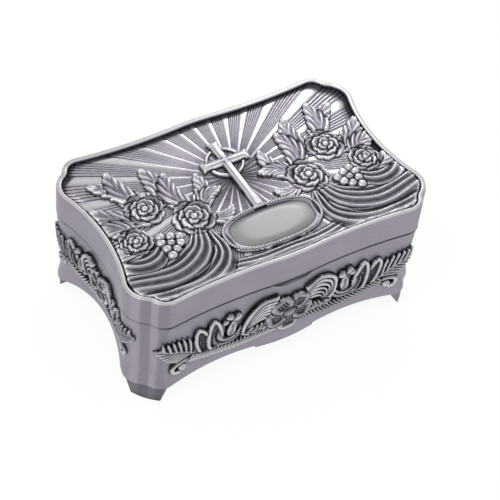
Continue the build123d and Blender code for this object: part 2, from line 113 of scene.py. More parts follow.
quarter, quarter_normals = quarter_outline()
print("outline reaches", quarter.max(0).round(2), "from the middle")

# %% [markdown]
# The whole outline is the quarter and its mirror images. Points at even steps along it
# make clean strips, so it is sampled again by its length.

# %% The closed outline, at even steps


def whole_outline(count, inset=0.0):
    """Closed outline of count points, counterclockwise, drawn in by inset."""
    parts = []
    for sx, sy, back in ((1, 1, False), (1, -1, True), (-1, -1, False), (-1, 1, True)):
        p = np.hstack([quarter * (sx, sy), quarter_normals * (sx, sy)])
        parts.append(p[::-1][:-1] if back else p[:-1])
    loop = np.concatenate(parts)[::-1]
    closed = np.vstack([loop, loop[:1]])
    steps = np.hypot(*np.diff(closed[:, :2], axis=0).T)
    s = np.concatenate([[0], np.cumsum(steps)])
    at = np.linspace(0, s[-1], count, endpoint=False)
    even = np.stack([np.interp(at, s, closed[:, k]) for k in range(4)], 1)
    return even[:, :2] - inset * even[:, 2:]


loop = whole_outline(400)
outline_length = np.hypot(*(loop - np.roll(loop, 1, 0)).T).sum()
print("outline is", round(outline_length, 1), "mm long")

# %% [markdown]
# ## The camera
#
# The photograph looks down on the front left corner, nearly halfway between the side
# and the top, through a long lens and with a slight roll. These numbers were fitted to
# the rim's outline in the photograph.

# %% Place the camera
AZIMUTH, ELEVATION, ROLL = radians(-36.45), radians(48.15), radians(7.52)
DISTANCE, TARGET = 400.0, (1.3, -11.1, 18.0)

camera = bpy.data.objects.new("camera", bpy.data.cameras.new("camera"))
bpy.context.scene.collection.objects.link(camera)
bpy.context.scene.camera = camera
back = Vector((sin(AZIMUTH) * cos(ELEVATION), -cos(AZIMUTH) * cos(ELEVATION), sin(ELEVATION)))
level = Vector((cos(AZIMUTH), sin(AZIMUTH), 0))
above = back.cross(level)
right = cos(ROLL) * level + sin(ROLL) * above
upward = cos(ROLL) * above - sin(ROLL) * level
turned = Matrix((right, upward, back)).transposed()
camera.matrix_world = Matrix.Translation((Vector(TARGET) + DISTANCE * back) * MM) @ turned.to_4x4()
camera.data.sensor_width = 36.0
camera.data.lens = 120.6
camera.data.shift_x, camera.data.shift_y = -0.032, 0.026
camera.data.clip_start, camera.data.clip_end = 0.01, 20.0
print("lens", camera.data.lens, "mm at", DISTANCE, "mm")

# %% [markdown]
# ## A small language for nodes
#
# Finishes are recipes of nodes. Written as plain sums, a recipe is easier to read than
# a long list of links, so a class wraps a socket and turns arithmetic into Math nodes.
# The same class serves materials and Geometry Nodes.

# %% Sockets that can be added and multiplied


class Wire:
    """A socket, or a number, that arithmetic turns into Math nodes."""

    def __init__(self, tree, socket):
        self.tree, self.socket = tree, socket

    def node(self, kind, settings=None, inputs=(), output=0):
        return add_node(self.tree, kind, settings, inputs, output)

    def math(self, operation, *values):
        return self.node("ShaderNodeMath", {"operation": operation}, values)

    def __add__(self, other):
        return self.math("ADD", self, other)

    def __sub__(self, other):
        return self.math("SUBTRACT", self, other)

    def __rsub__(self, other):
        return self.math("SUBTRACT", other, self)

    def __mul__(self, other):
        return self.math("MULTIPLY", self, other)

    def __truediv__(self, other):
        return self.math("DIVIDE", self, other)

    def __pow__(self, other):
        return self.math("POWER", self, other)

    __radd__ = __add__
    __rmul__ = __mul__

    def clamped(self):
        return self.node("ShaderNodeMath", {"operation": "ADD", "use_clamp": True}, (self, 0.0))

    def between(self, low, high):
        """0 below low, 1 above high, and even steps in between."""
        span = high - low
        return ((self - low) / span).clamped()


def add_node(tree, kind, settings=None, inputs=(), output=0):
    """Makes a node: its settings first, then values or links for its inputs."""
    made = tree.nodes.new(kind)
    for name, value in (settings or {}).items():
        if name == "stops":
            ramp = made.color_ramp.elements
            while len(ramp) < len(value):
                ramp.new(0.5)
            for stop, (place, colour) in zip(ramp, value):
                stop.position, stop.color = place, colour
        else:
            setattr(made, name, value)
    pairs = inputs.items() if isinstance(inputs, dict) else enumerate(inputs)
    for key, value in pairs:
        if isinstance(value, Wire):
            tree.links.new(value.socket, made.inputs[key])
        else:
            made.inputs[key].default_value = value
    return Wire(tree, made.outputs[output])


def mix(wire, factor, first, second):
    """Colour between first and second."""
    inputs = {"Factor": factor, 6: first, 7: second}
    return wire.node("ShaderNodeMix", {"data_type": "RGBA"}, inputs, 2)


def grey(level, tint=(1.0, 1.0, 1.0)):
    return tuple(level * t for t in tint) + (1.0,)


print("node language ready")

# %% [markdown]
# ## Finishes
#
# Each finish is one Principled shader. What is the same all over, such as the metal
# itself, is set on the shader's sockets; what changes over the surface is linked.

# %% A material and its first wires


def finish(name, constants, varying):
    """Material with constant socket values, whose other sockets come from varying(start)."""
    material = bpy.data.materials.new(name)
    material.use_nodes = True
    tree = material.node_tree
    shader = tree.nodes["Principled BSDF"]
    for socket, value in constants.items():
        shader.inputs[socket].default_value = value
    place = add_node(tree, "ShaderNodeTexCoord", output=3)
    for socket, wire in varying(place).items():
        tree.links.new(wire.socket, shader.inputs[socket])
    return material


def noise(place, scales, detail=3.0, roughness=0.55):
    """Noise from 0 to 1 with its own scale along each axis, in lumps per metre."""
    spread = place.node("ShaderNodeMapping", None, {0: place, 3: scales})
    inputs = {"Vector": spread, "Scale": 1.0, "Detail": detail, "Roughness": roughness}
    return place.node("ShaderNodeTexNoise", None, inputs, 0)


def bumped(place, height, depth, normal=None):
    """Normal of a surface raised by height times depth, in metres."""
    inputs = {"Strength": 1.0, "Distance": depth, "Height": height}
    if normal is not None:
        inputs["Normal"] = normal
    return place.node("ShaderNodeBump", None, inputs)


PEWTER_TINT = (1.0, 0.925, 1.09)
PEWTER_CREST = grey(0.56, (1.0, 0.985, 1.015))
# Near-black: the patina in the reliefs' hollows, and also the colour of the painted shade.
PATINA_AND_SHADE = grey(0.014, (1.0, 1.0, 1.08))
print("pewter from", PATINA_AND_SHADE[:3], "to", PEWTER_CREST[:3])

# %% [markdown]
# ### Brushed pewter
#
# The plain bands were brushed level with the table: fine streaks that are long along
# the wall and thin in height. An ambient occlusion mask darkens where surfaces meet:
# black wax in the corners, and painted shade under overhangs and at the floor. A dark
# band at the height of the lid's seam is painted shade, less past the corner lobes and
# along the sides, where the photograph shows it faint. The thumb scoop gets painted
# shade at its top and a painted highlight on its lip, and the corners get bands of
# painted light and shade. A bevel node rounds the sharp CAD edges.

# %% Brushed pewter for the plain bands
THUMB_HALF_WIDTH, THUMB_HEIGHT, THUMB_DEPTH = 6.4, 2.2, 1.05


def scoop_shade_and_highlight(x, y, z):
    """Painted shade in the thumb hollow, darkest under the lid; a painted highlight on its lip."""
    ring = (THUMB_HALF_WIDTH**2 + THUMB_HEIGHT**2) / (2 * THUMB_HEIGHT)
    above = ring - THUMB_HEIGHT
    away = (ring**2 - above**2 - THUMB_DEPTH**2) / (2 * THUMB_DEPTH)
    wall_y, top = -(DEPTH / 2 - CROWN_DROP - BASE_LEVELS[2][1]), BASE_LEVELS[3][0]
    dy, dz = y - (wall_y - away) * MM, z - (top + above) * MM
    gap = (x * x + dy * dy + dz * dz) ** 0.5 - sqrt(ring**2 + away**2) * MM
    on_base = 1.0 - z.between(top * MM, (top + 0.02) * MM)
    on_ball = 1.0 - gap.math("ABSOLUTE", gap).between(0.01 * MM, 0.04 * MM)
    up_to_lid = z.between((top - 1.05 * THUMB_HEIGHT) * MM, (top - 0.5 * THUMB_HEIGHT) * MM)
    lip_highlight = gap.between(0.02 * MM, 0.05 * MM) * (1.0 - gap.between(0.14 * MM, 0.20 * MM))
    return on_ball * on_base * up_to_lid, lip_highlight * on_base


def painted_corner_bands(x, y):
    """Painted light on the corner lobes and painted shade in the hollow beside them."""
    ax, ay = x.math("ABSOLUTE", x), y.math("ABSOLUTE", y)
    bands = 0.0
    for (cx, cy), reach, weight in PAINTED_CORNER_TONES:
        dx, dy = ax - cx * MM, ay - cy * MM
        near = 1.0 - ((dx * dx + dy * dy) ** 0.5).between(0.25 * reach * MM, reach * MM)
        bands = near * weight + bands
    return bands


# Bands of painted light and shade on the corners, in place of their reflections.
PAINTED_CORNER_TONES = [((37.1, 21.4), 1.7, -1.3), ((35.9, 22.9), 1.7, 1.0), ((34.4, 24.4), 1.8, -0.9),
                ((38.9, 19.6), 2.0, 0.8)]    # place on the outline, reach, how much lighter


def brushed(dark, light, tint=PEWTER_TINT, grip=0.000035):
    """Recipe of brushed metal between two tones, with streaks as deep as grip."""

    def varying(place):
        fine = noise(place, (260.0, 260.0, 9000.0))
        broad = noise(place, (60.0, 60.0, 2600.0))
        cloud = noise(place, (90.0, 90.0, 90.0))
        near = place.node("ShaderNodeAmbientOcclusion", {"samples": 6}, {"Distance": 0.0024}, 1)
        split = place.node("ShaderNodeSeparateXYZ", None, (place,)).socket.node
        level = Wire(place.tree, split.outputs[2])
        # Painted shade: a dark band at the height of the lid's seam, fainter past the corner lobes.
        seam = level.math("ABSOLUTE", level - SEAM_LEVEL * MM)
        side, front = (Wire(place.tree, split.outputs[k]) for k in (0, 1))
        past_lobe = side.math("ABSOLUTE", side).between(32.5 * MM, 35.0 * MM)
        seam_shade = (1.0 - seam.between(0.20 * MM, 0.50 * MM)) * (1.0 - 0.6 * past_lobe)
        # Darker where surfaces meet, by ambient occlusion: black wax in the corners, and painted
        # shade under overhangs and at the floor.
        corner = seam_shade.math("MAXIMUM", seam_shade, 1.0 - near.between(0.25, 0.9))
        # Painted shade in the thumb scoop under the lid, and a painted highlight on its lip.
        hollow, lip_highlight = scoop_shade_and_highlight(side, front, level)
        corner = seam_shade.math("MAXIMUM", corner, hollow * 0.9)
        # Painted light and shade bands on the corners, plus the lip's painted highlight.
        painted_light_bands = painted_corner_bands(side, front) + 2.0 * lip_highlight
        streak = fine * 0.6 + broad * 0.4
        tone = (streak.between(0.3, 0.7) * 0.65 + cloud.between(0.3, 0.7) * 0.35 + painted_light_bands).clamped()
        metal = mix(place, tone, grey(dark, tint), grey(light, tint))
        soft_edge = place.node("ShaderNodeBevel", {"samples": 4}, {"Radius": 0.00018})
        return {
            # Painted shade and black wax take the metal toward near-black.
            "Base Color": mix(place, corner * 0.92, metal, PATINA_AND_SHADE),
            "Roughness": 0.33 + 0.16 * streak,
            "Normal": bumped(place, streak, grip, soft_edge),
        }

    return varying


pewter_plain = finish("pewter_plain", {"Metallic": 1.0}, brushed(0.265, 0.365))
# The feet take a darker copy of the brushed pewter: painted shade, as their faces turn down.
pewter_foot_painted_shade = finish("pewter_foot_painted_shade", {"Metallic": 1.0}, brushed(0.15, 0.19))
# The rim's bead takes a lighter, more neutral copy: painted light on its top.
pewter_rim_painted_light = finish("pewter_rim_painted_light", {"Metallic": 1.0},
                   brushed(0.42, 0.52, (1.0, 0.965, 1.02), 0.00001))
pewter_plate = finish("pewter_plate", {"Metallic": 1.0}, brushed(0.26, 0.32, (1.0, 0.98, 1.0)))
print("made", pewter_plain.name, pewter_foot_painted_shade.name, pewter_rim_painted_light.name, pewter_plate.name)

# %% [markdown]
# ### Antiqued pewter
#
# The reliefs were dipped in black, then rubbed: hollows stay dark, crests come up
# bright. Each relief stores how far it sticks out of its surroundings as a named
# attribute, because that is known exactly when it is carved. On the friezes the same
# attribute also carries painted shade on the upper side of each form.

# %% Antiqued pewter for the reliefs


def antiqued(place):
    wear = place.node("ShaderNodeAttribute", {"attribute_name": "wear"}, output=2)
    grain = noise(place, (2600.0, 2600.0, 2600.0))
    smear = noise(place, (700.0, 700.0, 700.0))
    # On the friezes this attribute also holds painted shade on the upper sides.
    rubbed = (wear + (smear - 0.5) * 0.22 + (grain - 0.5) * 0.12).clamped()
    stops = [
        (0.0, PATINA_AND_SHADE), (0.22, grey(0.045, PEWTER_TINT)), (0.45, grey(0.17, PEWTER_TINT)),
        (0.7, grey(0.33, PEWTER_TINT)), (1.0, PEWTER_CREST),
    ]
    return {
        "Base Color": place.node("ShaderNodeValToRGB", {"stops": stops}, (rubbed,)),
        "Roughness": 0.47 - 0.23 * rubbed,
        "Normal": bumped(place, grain, 0.00003),
    }


pewter_relief = finish("pewter_relief", {"Metallic": 1.0}, antiqued)
print("made", pewter_relief.name)

# %% [markdown]
# ### Turned steel and velvet
#
# The hinge pin is drawn steel wire, with rings round its axis, which runs along x. The
# lining is a dark red velvet: short pile that catches light at a grazing angle, which
# is what the shader's sheen does.

# %% Steel for the pin, velvet for the lining


def drawn_wire(place):
    rings = noise(place, (5000.0, 400.0, 400.0))
    return {
        "Base Color": mix(place, rings, grey(0.42), grey(0.60)),
        "Roughness": 0.28 + 0.2 * rings,
        "Normal": bumped(place, rings, 0.00002),
    }


def pile(place):
    fibre = noise(place, (5200.0, 5200.0, 5200.0), 4.0, 0.7)
    crush = noise(place, (160.0, 160.0, 160.0))
    shade = (fibre * 0.55 + crush * 0.45).between(0.3, 0.7)
    return {
        "Base Color": mix(place, shade, (0.075, 0.004, 0.010, 1.0), (0.21, 0.014, 0.026, 1.0)),
        "Roughness": 0.86 + 0.12 * fibre,
        "Normal": bumped(place, fibre, 0.00012),
    }


pin_steel = finish("pin_steel", {"Metallic": 1.0}, drawn_wire)
velvet = finish("velvet", {"Sheen Weight": 0.6, "Sheen Roughness": 0.4,
                           "Sheen Tint": (0.9, 0.35, 0.38, 1.0)}, pile)
print("made", pin_steel.name, "and", velvet.name)

# %% Give the CAD nodes their finishes
node_finishes = {"hinge_pin": pin_steel}
for corner in ("front_left", "front_right", "back_left", "back_right"):
    node_finishes["foot_" + corner] = pewter_foot_painted_shade
for name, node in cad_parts.items():
    for held in node.material_slots:
        held.material = node_finishes.get(name, pewter_plain)
print("finishes on", len(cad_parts), "nodes")

# %% [markdown]
# ## Making meshes
#
# Every piece is worked out in millimetres as arrays of points and made a mesh at the
# end, in place, so its object stays at the origin like a CAD node's.

# %% From arrays to a mesh


def mesh_piece(name, points, faces, material, body, wear=None, smooth=True, edges=()):
    """Object from points in millimetres, riding on a CAD body."""
    mesh = bpy.data.meshes.new(name)
    mesh.from_pydata((np.asarray(points, float) * MM).tolist(), edges, [list(f) for f in faces])
    mesh.polygons.foreach_set("use_smooth", [smooth] * len(mesh.polygons))
    if wear is not None:
        mesh.attributes.new("wear", "FLOAT", "POINT").data.foreach_set(
            "value", np.asarray(wear, np.float32))
    mesh.materials.append(material)
    mesh.update()
    piece = bpy.data.objects.new(name, mesh)
    bpy.context.scene.collection.objects.link(piece)
    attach(piece, body)
    return piece


def swept(name, profile, count, material, body, wear=None):
    """Ring with the outline's shape. profile is a closed loop of (inset, height)."""
    rings = [np.column_stack([whole_outline(count, inset), np.full(count, z)])
             for inset, z in profile]
    points = np.concatenate(rings)
    rows = len(profile)
    i = np.arange(count)
    faces = []
    for r in range(rows):
        a, b = r * count, ((r + 1) % rows) * count
        faces += np.stack([a + i, a + (i + 1) % count, b + (i + 1) % count, b + i], 1).tolist()
    ring_wear = None if wear is None else np.repeat(wear, count)
    return mesh_piece(name, points, faces, material, body, ring_wear)


print("mesh tools ready")

# %% [markdown]
# ## Carving
#
# A cast relief is a height map: seen from the front, each point has one height. So the
# ornament is carved as numbers over a fine grid, shape by shape from the back to the
# front. Each new shape covers what is below it, and leaves a small groove round itself
# that parts it from its neighbours, as a chaser's line does on the real casting.

# %% The carving grid
BURIED = -0.3               # below the ground, so it doesn't show


class Carving:
    """Heights over a grid, in millimetres, and the tools that cut them."""

    def __init__(self, x_range, y_range, step):
        self.x = np.arange(x_range[0], x_range[1] + step / 2, step)
        self.y = np.arange(y_range[0], y_range[1] + step / 2, step)
        self.step = step
        self.height = np.full((len(self.y), len(self.x)), BURIED)

    def window(self, points, margin):
        """Slices of the grid round some points, and the grid's x and y there."""
        low, high = np.min(points, 0) - margin, np.max(points, 0) + margin
        i0, i1 = np.searchsorted(self.x, (low[0], high[0]))
        j0, j1 = np.searchsorted(self.y, (low[1], high[1]))
        x, y = np.meshgrid(self.x[i0:i1], self.y[j0:j1])
        return (slice(j0, j1), slice(i0, i1)), x, y

    def lay(self, window, edge, top, roll=0.4, groove=0.3, gap=0.3):
        """Lays a shape: edge is how far inside its outline a point is, top its height."""
        old = self.height[window]
        ground = np.maximum(old - groove, BURIED)
        t = np.clip(edge / roll, 0, 1)
        shape = ground + (np.maximum(top, ground + 0.05) - ground) * np.sqrt(t * (2 - t))
        moat = np.clip(1 + edge / gap, 0, 1)
        round_it = np.where(old > BURIED, np.maximum(old - groove * moat, BURIED), old)
        self.height[window] = np.where(edge > 0, shape, round_it)


def bent(points, count=60):
    """Smooth line through points, at even steps."""
    p = np.array(points, float)
    ends = np.vstack([2 * p[0] - p[1], p, 2 * p[-1] - p[-2]])
    line = []
    for a, b, c, d in zip(ends[:-3], ends[1:-2], ends[2:-1], ends[3:]):
        t = np.linspace(0, 1, 24, endpoint=False)[:, None]
        line.append(0.5 * (2 * b + (c - a) * t + (2 * a - 5 * b + 4 * c - d) * t**2
                           + (3 * b - a - 3 * c + d) * t**3))
    line = np.vstack(line + [p[-1:]])
    s = np.concatenate([[0], np.cumsum(np.hypot(*np.diff(line, axis=0).T))])
    at = np.linspace(0, s[-1], count)
    return np.stack([np.interp(at, s, line[:, k]) for k in range(2)], 1)


def along(path, x, y):
    """Distance along a path and to the left of it, for each grid point, and its length."""
    tangent = np.gradient(path, axis=0)
    tangent /= np.hypot(*tangent.T)[:, None]
    steps = np.concatenate([[0], np.cumsum(np.hypot(*np.diff(path, axis=0).T))])
    dx, dy = x[..., None] - path[:, 0], y[..., None] - path[:, 1]
    nearest = (dx**2 + dy**2).argmin(-1)[..., None]
    dx, dy = (np.take_along_axis(d, nearest, -1)[..., 0] for d in (dx, dy))
    nearest = nearest[..., 0]
    tx, ty = tangent[nearest, 0], tangent[nearest, 1]
    return steps[nearest] + dx * tx + dy * ty, dy * tx - dx * ty, steps[-1]


print("carving tools ready")

# %% [markdown]
# ### Motifs
#
# The shapes that a maker of such castings has used for centuries: leaves with veins
# and lobes, petals, beads, scrolls and twisted bands. Each is a rule for its edge and
# its height, so one rule makes many leaves.

# %% Leaf


def leaf(c, base, tip, width, low, high, bow=0.15, ribs=5, slope=2.0, cut=0.25, depth=0.24,
         border=0.0, curl=0.2, blunt=0.8):
    """Leaf whose ribs leave the midrib forwards, by slope, and end as lobes of its edge."""
    base, tip = np.array(base, float), np.array(tip, float)
    run = tip - base
    middle = (base + tip) / 2 + bow * np.array((-run[1], run[0]))
    path = bent([base, middle, tip])
    window, x, y = c.window(path, width * 0.6)
    s, side, length = along(path, x, y)
    u, a = np.clip(s / length, 0, 1), np.abs(side)
    spindle = np.sin(pi * np.clip(u, 0.001, 0.999) ** blunt) ** 0.6
    finger = 0.5 - 0.5 * np.cos(2 * pi * ribs * (s - slope * a) / length)
    half = width / 2 * spindle * (1 - cut * (1 - finger**0.6))
    edge = np.minimum(half - a, np.minimum(s + 0.2, length + 0.1 - s))
    q = np.clip(a / np.maximum(half, 0.05), 0, 1)
    body = 0.72 + 0.28 * np.sin(pi * np.clip(0.08 + 0.85 * q, 0, 1))
    lift = low + (high - low) * (0.4 + 0.6 * np.sin(pi * np.clip(u * 0.78 + 0.1, 0, 1)))
    folds = depth * (finger**0.8 - 0.6) * np.clip((q - 0.06) / 0.22, 0, 1)
    midrib = 0.7 * depth * np.exp(-((side / (0.05 * width + 0.12)) ** 2))
    rim = border * np.exp(-(((edge - 0.35) / 0.2) ** 2))
    tip_roll = curl * np.exp(-((length * 0.92 - s) ** 2 + side**2) / (0.13 * width + 0.25) ** 2)
    top = lift * body + folds + midrib + rim + tip_roll
    c.lay(window, edge, np.minimum(top, high + 0.12))


def drape(c, points, width, low, high, folds=4, depth=0.35, ends=(0.35, 0.5), roll=0.4):
    """Hanging cloth: a wide band whose folds run along it and gather at its ends."""
    path = bent(points, 90)
    window, x, y = c.window(path, width)
    s, side, length = along(path, x, y)
    u = np.clip(s / length, 0, 1)
    gather = ends[0] + (1 - ends[0]) * np.clip(u * 3, 0, 1) ** 0.7
    gather *= ends[1] + (1 - ends[1]) * np.clip((1 - u) * 3, 0, 1) ** 0.7
    half = width / 2 * gather
    q = side / np.maximum(half, 0.05)
    hem = 1 + 0.05 * np.sin(u * 19)
    edge = np.minimum(half * hem - np.abs(side), np.minimum(s, length - s) + 0.3)
    wave = np.cos(pi * folds * (q + 0.18 * q**2 + 0.12 * np.sin(4 * u)))
    crest = 1 - np.sqrt(np.clip(0.5 - 0.5 * wave, 0, 1))
    dome = np.sqrt(np.clip(1 - 0.75 * q**2, 0, 1))
    c.lay(window, edge, low + (high - low) * dome + depth * (crest - 0.6), roll=roll)


print("leaf and drape ready")

# %% Petals, beads, scrolls and bands


def ball(c, centre, radius, low, squash=1.0, groove=0.3):
    """Round bead that stands on low."""
    window, x, y = c.window([centre], radius + 0.6)
    r = np.hypot(x - centre[0], y - centre[1])
    dome = np.sqrt(np.maximum(radius**2 - r**2, 0)) * squash
    c.lay(window, radius - r, low + dome, roll=0.12, groove=groove)


def petals(c, centre, ring, radius, count, low, high, turn=0.0, narrow=1.0, roll=0.2, fine=0.07):
    """Ring of petals, each with a raised border, fine lines and a hollow middle."""
    for k in range(count):
        angle = turn + 2 * pi * k / count
        out = np.array((sin(angle), cos(angle)))
        middle = np.array(centre) + ring * out
        window, x, y = c.window([middle], radius + 0.6)
        a = (x - centre[0]) * out[0] + (y - centre[1]) * out[1]
        b = (x - centre[0]) * out[1] - (y - centre[1]) * out[0]
        reach = np.hypot((a - ring), b / narrow)
        pinch = 0.16 * radius * np.exp(-((b / (0.18 * radius)) ** 2)) * (a > ring)
        edge = radius - pinch - reach
        slope = np.clip(a / (ring + radius), 0, 1)
        border = roll * np.exp(-(((edge - 0.22 * radius) / (0.16 * radius)) ** 2))
        lines = fine * np.cos(2 * pi * b / (0.30 * radius)) * np.clip((a - 0.4 * ring), 0, 1)
        top = low + (high - low) * (0.35 + 0.65 * slope) - 0.22 * radius * 0.3 + border + lines
        c.lay(window, edge, np.minimum(top, high + 0.1), roll=0.16 * radius + 0.1)


def band(c, points, width, low, rise, pitch=0.0, slant=0.9, depth=0.16, taper=0.0):
    """Rounded band along a bent line, with slanted strokes like a rope if it has a pitch."""
    path = bent(points, 90)
    window, x, y = c.window(path, width)
    s, side, length = along(path, x, y)
    half = width / 2 * (1 - taper * np.clip(s / length, 0, 1))
    edge = np.minimum(half - np.abs(side), np.minimum(s, length - s) + 0.4)
    top = low + rise * np.sqrt(np.clip(1 - (side / np.maximum(half, 0.1)) ** 2, 0, 1))
    if pitch:
        top += depth * np.cos(2 * pi * (s + slant * side) / pitch)
    c.lay(window, edge, top, roll=0.25)


def loop(c, root, tip, width, low, high, rim=0.42, pitch=0.62, slant=0.0, round_to=0.75,
         bed=0.3):
    """Loop of rounded metal round a hollow that is hatched, like a petal seen from above."""
    path = bent([root, ((root[0] + tip[0]) / 2, (root[1] + tip[1]) / 2), tip])
    window, x, y = c.window(path, width * 0.7)
    s, side, length = along(path, x, y)
    u = np.clip(s / length, 0.001, 0.999)
    swing = np.abs(2 * u**round_to - 1)
    half = width / 2 * (1 - swing**2.2) ** (1 / 2.2)
    edge = np.minimum(half - np.abs(side), np.minimum(s, length - s) + 0.1)
    bead = np.sqrt(np.clip(1 - (edge / rim - 1) ** 2, 0, 1)) * (edge < 2 * rim)
    hatch = 0.12 * np.cos(2 * pi * (side + slant * s) / pitch)
    hollow = low + bed * (high - low) + hatch * np.clip((edge - 1.6 * rim) / 0.3, 0, 1)
    top = np.maximum(hollow, low + (high - low) * (0.3 + 0.7 * bead))
    c.lay(window, edge, top, roll=0.12)


def cup(c, centre, radius, way, low, high, share=0.5):
    """Crescent that opens along the angle way, full in its middle and thin at its horns."""
    toward = np.array((cos(way), sin(way)))
    window, x, y = c.window([centre], radius + 0.6)
    inner = np.array(centre) + toward * radius * share
    out = radius - np.hypot(x - centre[0], y - centre[1])
    bite = np.hypot(x - inner[0], y - inner[1]) - 0.86 * radius
    edge = np.minimum(out, bite)
    dome = np.sqrt(np.clip(edge / (0.34 * radius), 0, 1))
    c.lay(window, edge, low + (high - low) * dome, roll=0.15)


def feather(c, base, tip, width, low, high, teeth=8, bow=0.0):
    """Feathery leaf: thick teeth on its left, fine strokes on its right, a strong midrib."""
    base, tip = np.array(base, float), np.array(tip, float)
    run = tip - base
    path = bent([base, (base + tip) / 2 + bow * np.array((-run[1], run[0])), tip])
    window, x, y = c.window(path, width * 0.7)
    s, side, length = along(path, x, y)
    u, a = np.clip(s / length, 0, 1), np.abs(side)
    left = side > 0
    half = width / 2 * np.sin(pi * np.clip(0.16 + 0.74 * u, 0, 1)) ** 0.5
    stroke = 0.5 - 0.5 * np.cos(2 * pi * np.where(left, teeth, teeth + 2) * (s - 0.9 * a) / length)
    half = half * np.where(left, 1 - 0.3 * (1 - stroke), 0.9)
    edge = np.minimum(half - a, np.minimum(s + 0.2, length + 0.4 * a - s))
    lift = low + (high - low) * np.where(left, 0.3 + 0.7 * stroke, 0.8 * stroke)
    rib = (high - low) * 0.9 * np.exp(-((side / 0.3) ** 2))
    c.lay(window, edge, np.maximum(lift, low + rib), roll=0.2)


def fan(c, outer, inner, ribs, low, high):
    """Curled leaf of round ribs between an outer and an inner line, thick on the outside."""
    a, b = bent(outer, 60), bent(inner, 60)
    for k in range(ribs):
        share = k / (ribs - 1)
        path = b + (a - b) * share
        width = 0.95 + 0.65 * share**2
        band(c, path[::6], width, low, (high - low) * (0.55 + 0.45 * share), taper=0.3)


def hook(c, points, width, low, high, bead, bead_radius):
    """Smooth band that curls round a ball."""
    band(c, points, width, low, high - low, taper=0.25)
    ball(c, bead, bead_radius, low + 0.1, 0.85)


print("petal, ball, band, loop, cup, feather, fan and hook ready")

# %% [markdown]
# ### From heights to metal
#
# The heights become a closed mesh: the carved face, an edge, and a flat back that
# lies hidden in the wall. Wear is the height above the local mean, at two scales; on
# the friezes a painted shade also darkens the upper side of each form.

# %% Wear and mesh of a carving


def blurred(field, cells):
    """Gaussian mean over some cells, along both axes."""
    reach = int(3 * cells) + 1
    weights = np.exp(-0.5 * (np.arange(-reach, reach + 1) / cells) ** 2)
    weights /= weights.sum()
    for axis in (0, 1):
        padded = np.pad(field, [(reach, reach) if k == axis else (0, 0) for k in (0, 1)], "edge")
        field = np.apply_along_axis(lambda row: np.convolve(row, weights, "valid"), axis, padded)
    return field


def worn_and_shaded(c, fine=0.35, coarse=1.2, depth=1.0, upper_shade=0.0):
    """How bright each point is rubbed: 0 in a hollow, 1 on a crest. Upper sides get painted shade.
    """
    h = np.maximum(c.height, -0.05)
    near = h - blurred(h, fine / c.step)
    far = h - blurred(h, coarse / c.step)
    gy, gx = np.gradient(h, c.step)
    steep = np.clip(np.hypot(gx, gy) / 2.5, 0, 1)
    reach = np.clip(h / depth, 0, 1)
    # Painted shade: the upper side of each form darker, in a broad band.
    slope = np.gradient(blurred(h, 0.45 / c.step), c.step, axis=0)
    painted_upper_shade = upper_shade * np.clip(-slope / 0.7, 0, 1)
    rubbed = 0.13 + 2.6 * near + 0.6 * far + 0.34 * reach - 0.3 * steep * (1.3 - reach)
    return np.clip(rubbed - painted_upper_shade, 0, 1)


def relief_piece(name, c, place, body, back=-0.3, bare=-0.12, depth=1.0, upper_shade=0.0):
    """Closed mesh of a carving. place(x, y, height) gives points in space."""
    h = c.height
    solid = np.maximum.reduce([h[:-1, :-1], h[1:, :-1], h[:-1, 1:], h[1:, 1:]]) > bare
    rows, columns = h.shape
    used = np.zeros(h.shape, bool)
    for dj in (0, 1):
        for di in (0, 1):
            used[dj:rows - 1 + dj, di:columns - 1 + di] |= solid
    number = np.full(h.shape, -1)
    number[used] = np.arange(used.sum())
    x, y = np.meshgrid(c.x, c.y)
    top = place(x[used], y[used], np.maximum(h, bare)[used])
    j, i = np.nonzero(solid)
    quads = np.stack([number[j, i], number[j, i + 1], number[j + 1, i + 1], number[j + 1, i]], 1)
    a, b, d = (top[quads[:, k]] for k in (0, 1, 3))
    out = place(x[used], y[used], np.full(used.sum(), 1.0)) - top
    facing = np.einsum("ij,ij->i", np.cross(b - a, d - a), out[quads[:, 0]]).sum()
    if facing < 0:
        quads = quads[:, ::-1]
    below = place(x[used], y[used], np.full(used.sum(), back))
    count = used.sum()
    edges = np.concatenate([quads[:, [k, (k + 1) % 4]] for k in range(4)])
    one_way = edges[:, 0].astype(np.int64) * count + edges[:, 1]
    other_way = edges[:, 1].astype(np.int64) * count + edges[:, 0]
    rim = edges[~np.isin(one_way, other_way)]
    sides = np.stack([rim[:, 1], rim[:, 0], rim[:, 0] + count, rim[:, 1] + count], 1)
    faces = np.concatenate([quads, quads[:, ::-1] + count, sides])
    wear = worn_and_shaded(c, depth=depth, upper_shade=upper_shade)[used]
    piece = mesh_piece(name, np.concatenate([top, below]), faces.tolist(), pewter_relief,
                       body, np.concatenate([wear, np.zeros(count)]))
    print(name, "has", 2 * len(faces), "triangles, up to", round(float(h.max()), 2), "mm high")
    return piece


# %% [markdown]
# ## Friezes
#
# The front wall carries a flower between two sprays: curled leaves, cups, buds and loops
# above, a twisted band below that ends in a hook round a ball. Beside the flower, the
# right spray has a ribbed fan and the left one a leaf with long strokes. The back wall,
# which the photograph doesn't show, carries the same casting, and the short walls a
# narrower one.

# %% Carve the long frieze


def mirror_x(c):
    """Makes the left half of a carving the mirror image of its right half."""
    middle = len(c.x) // 2
    c.height[:, :middle] = c.height[:, ::-1][:, :middle]


def turned_over(c):
    """Turns the carving left to right, so that one side's rules serve for both."""
    c.height = c.height[:, ::-1].copy()


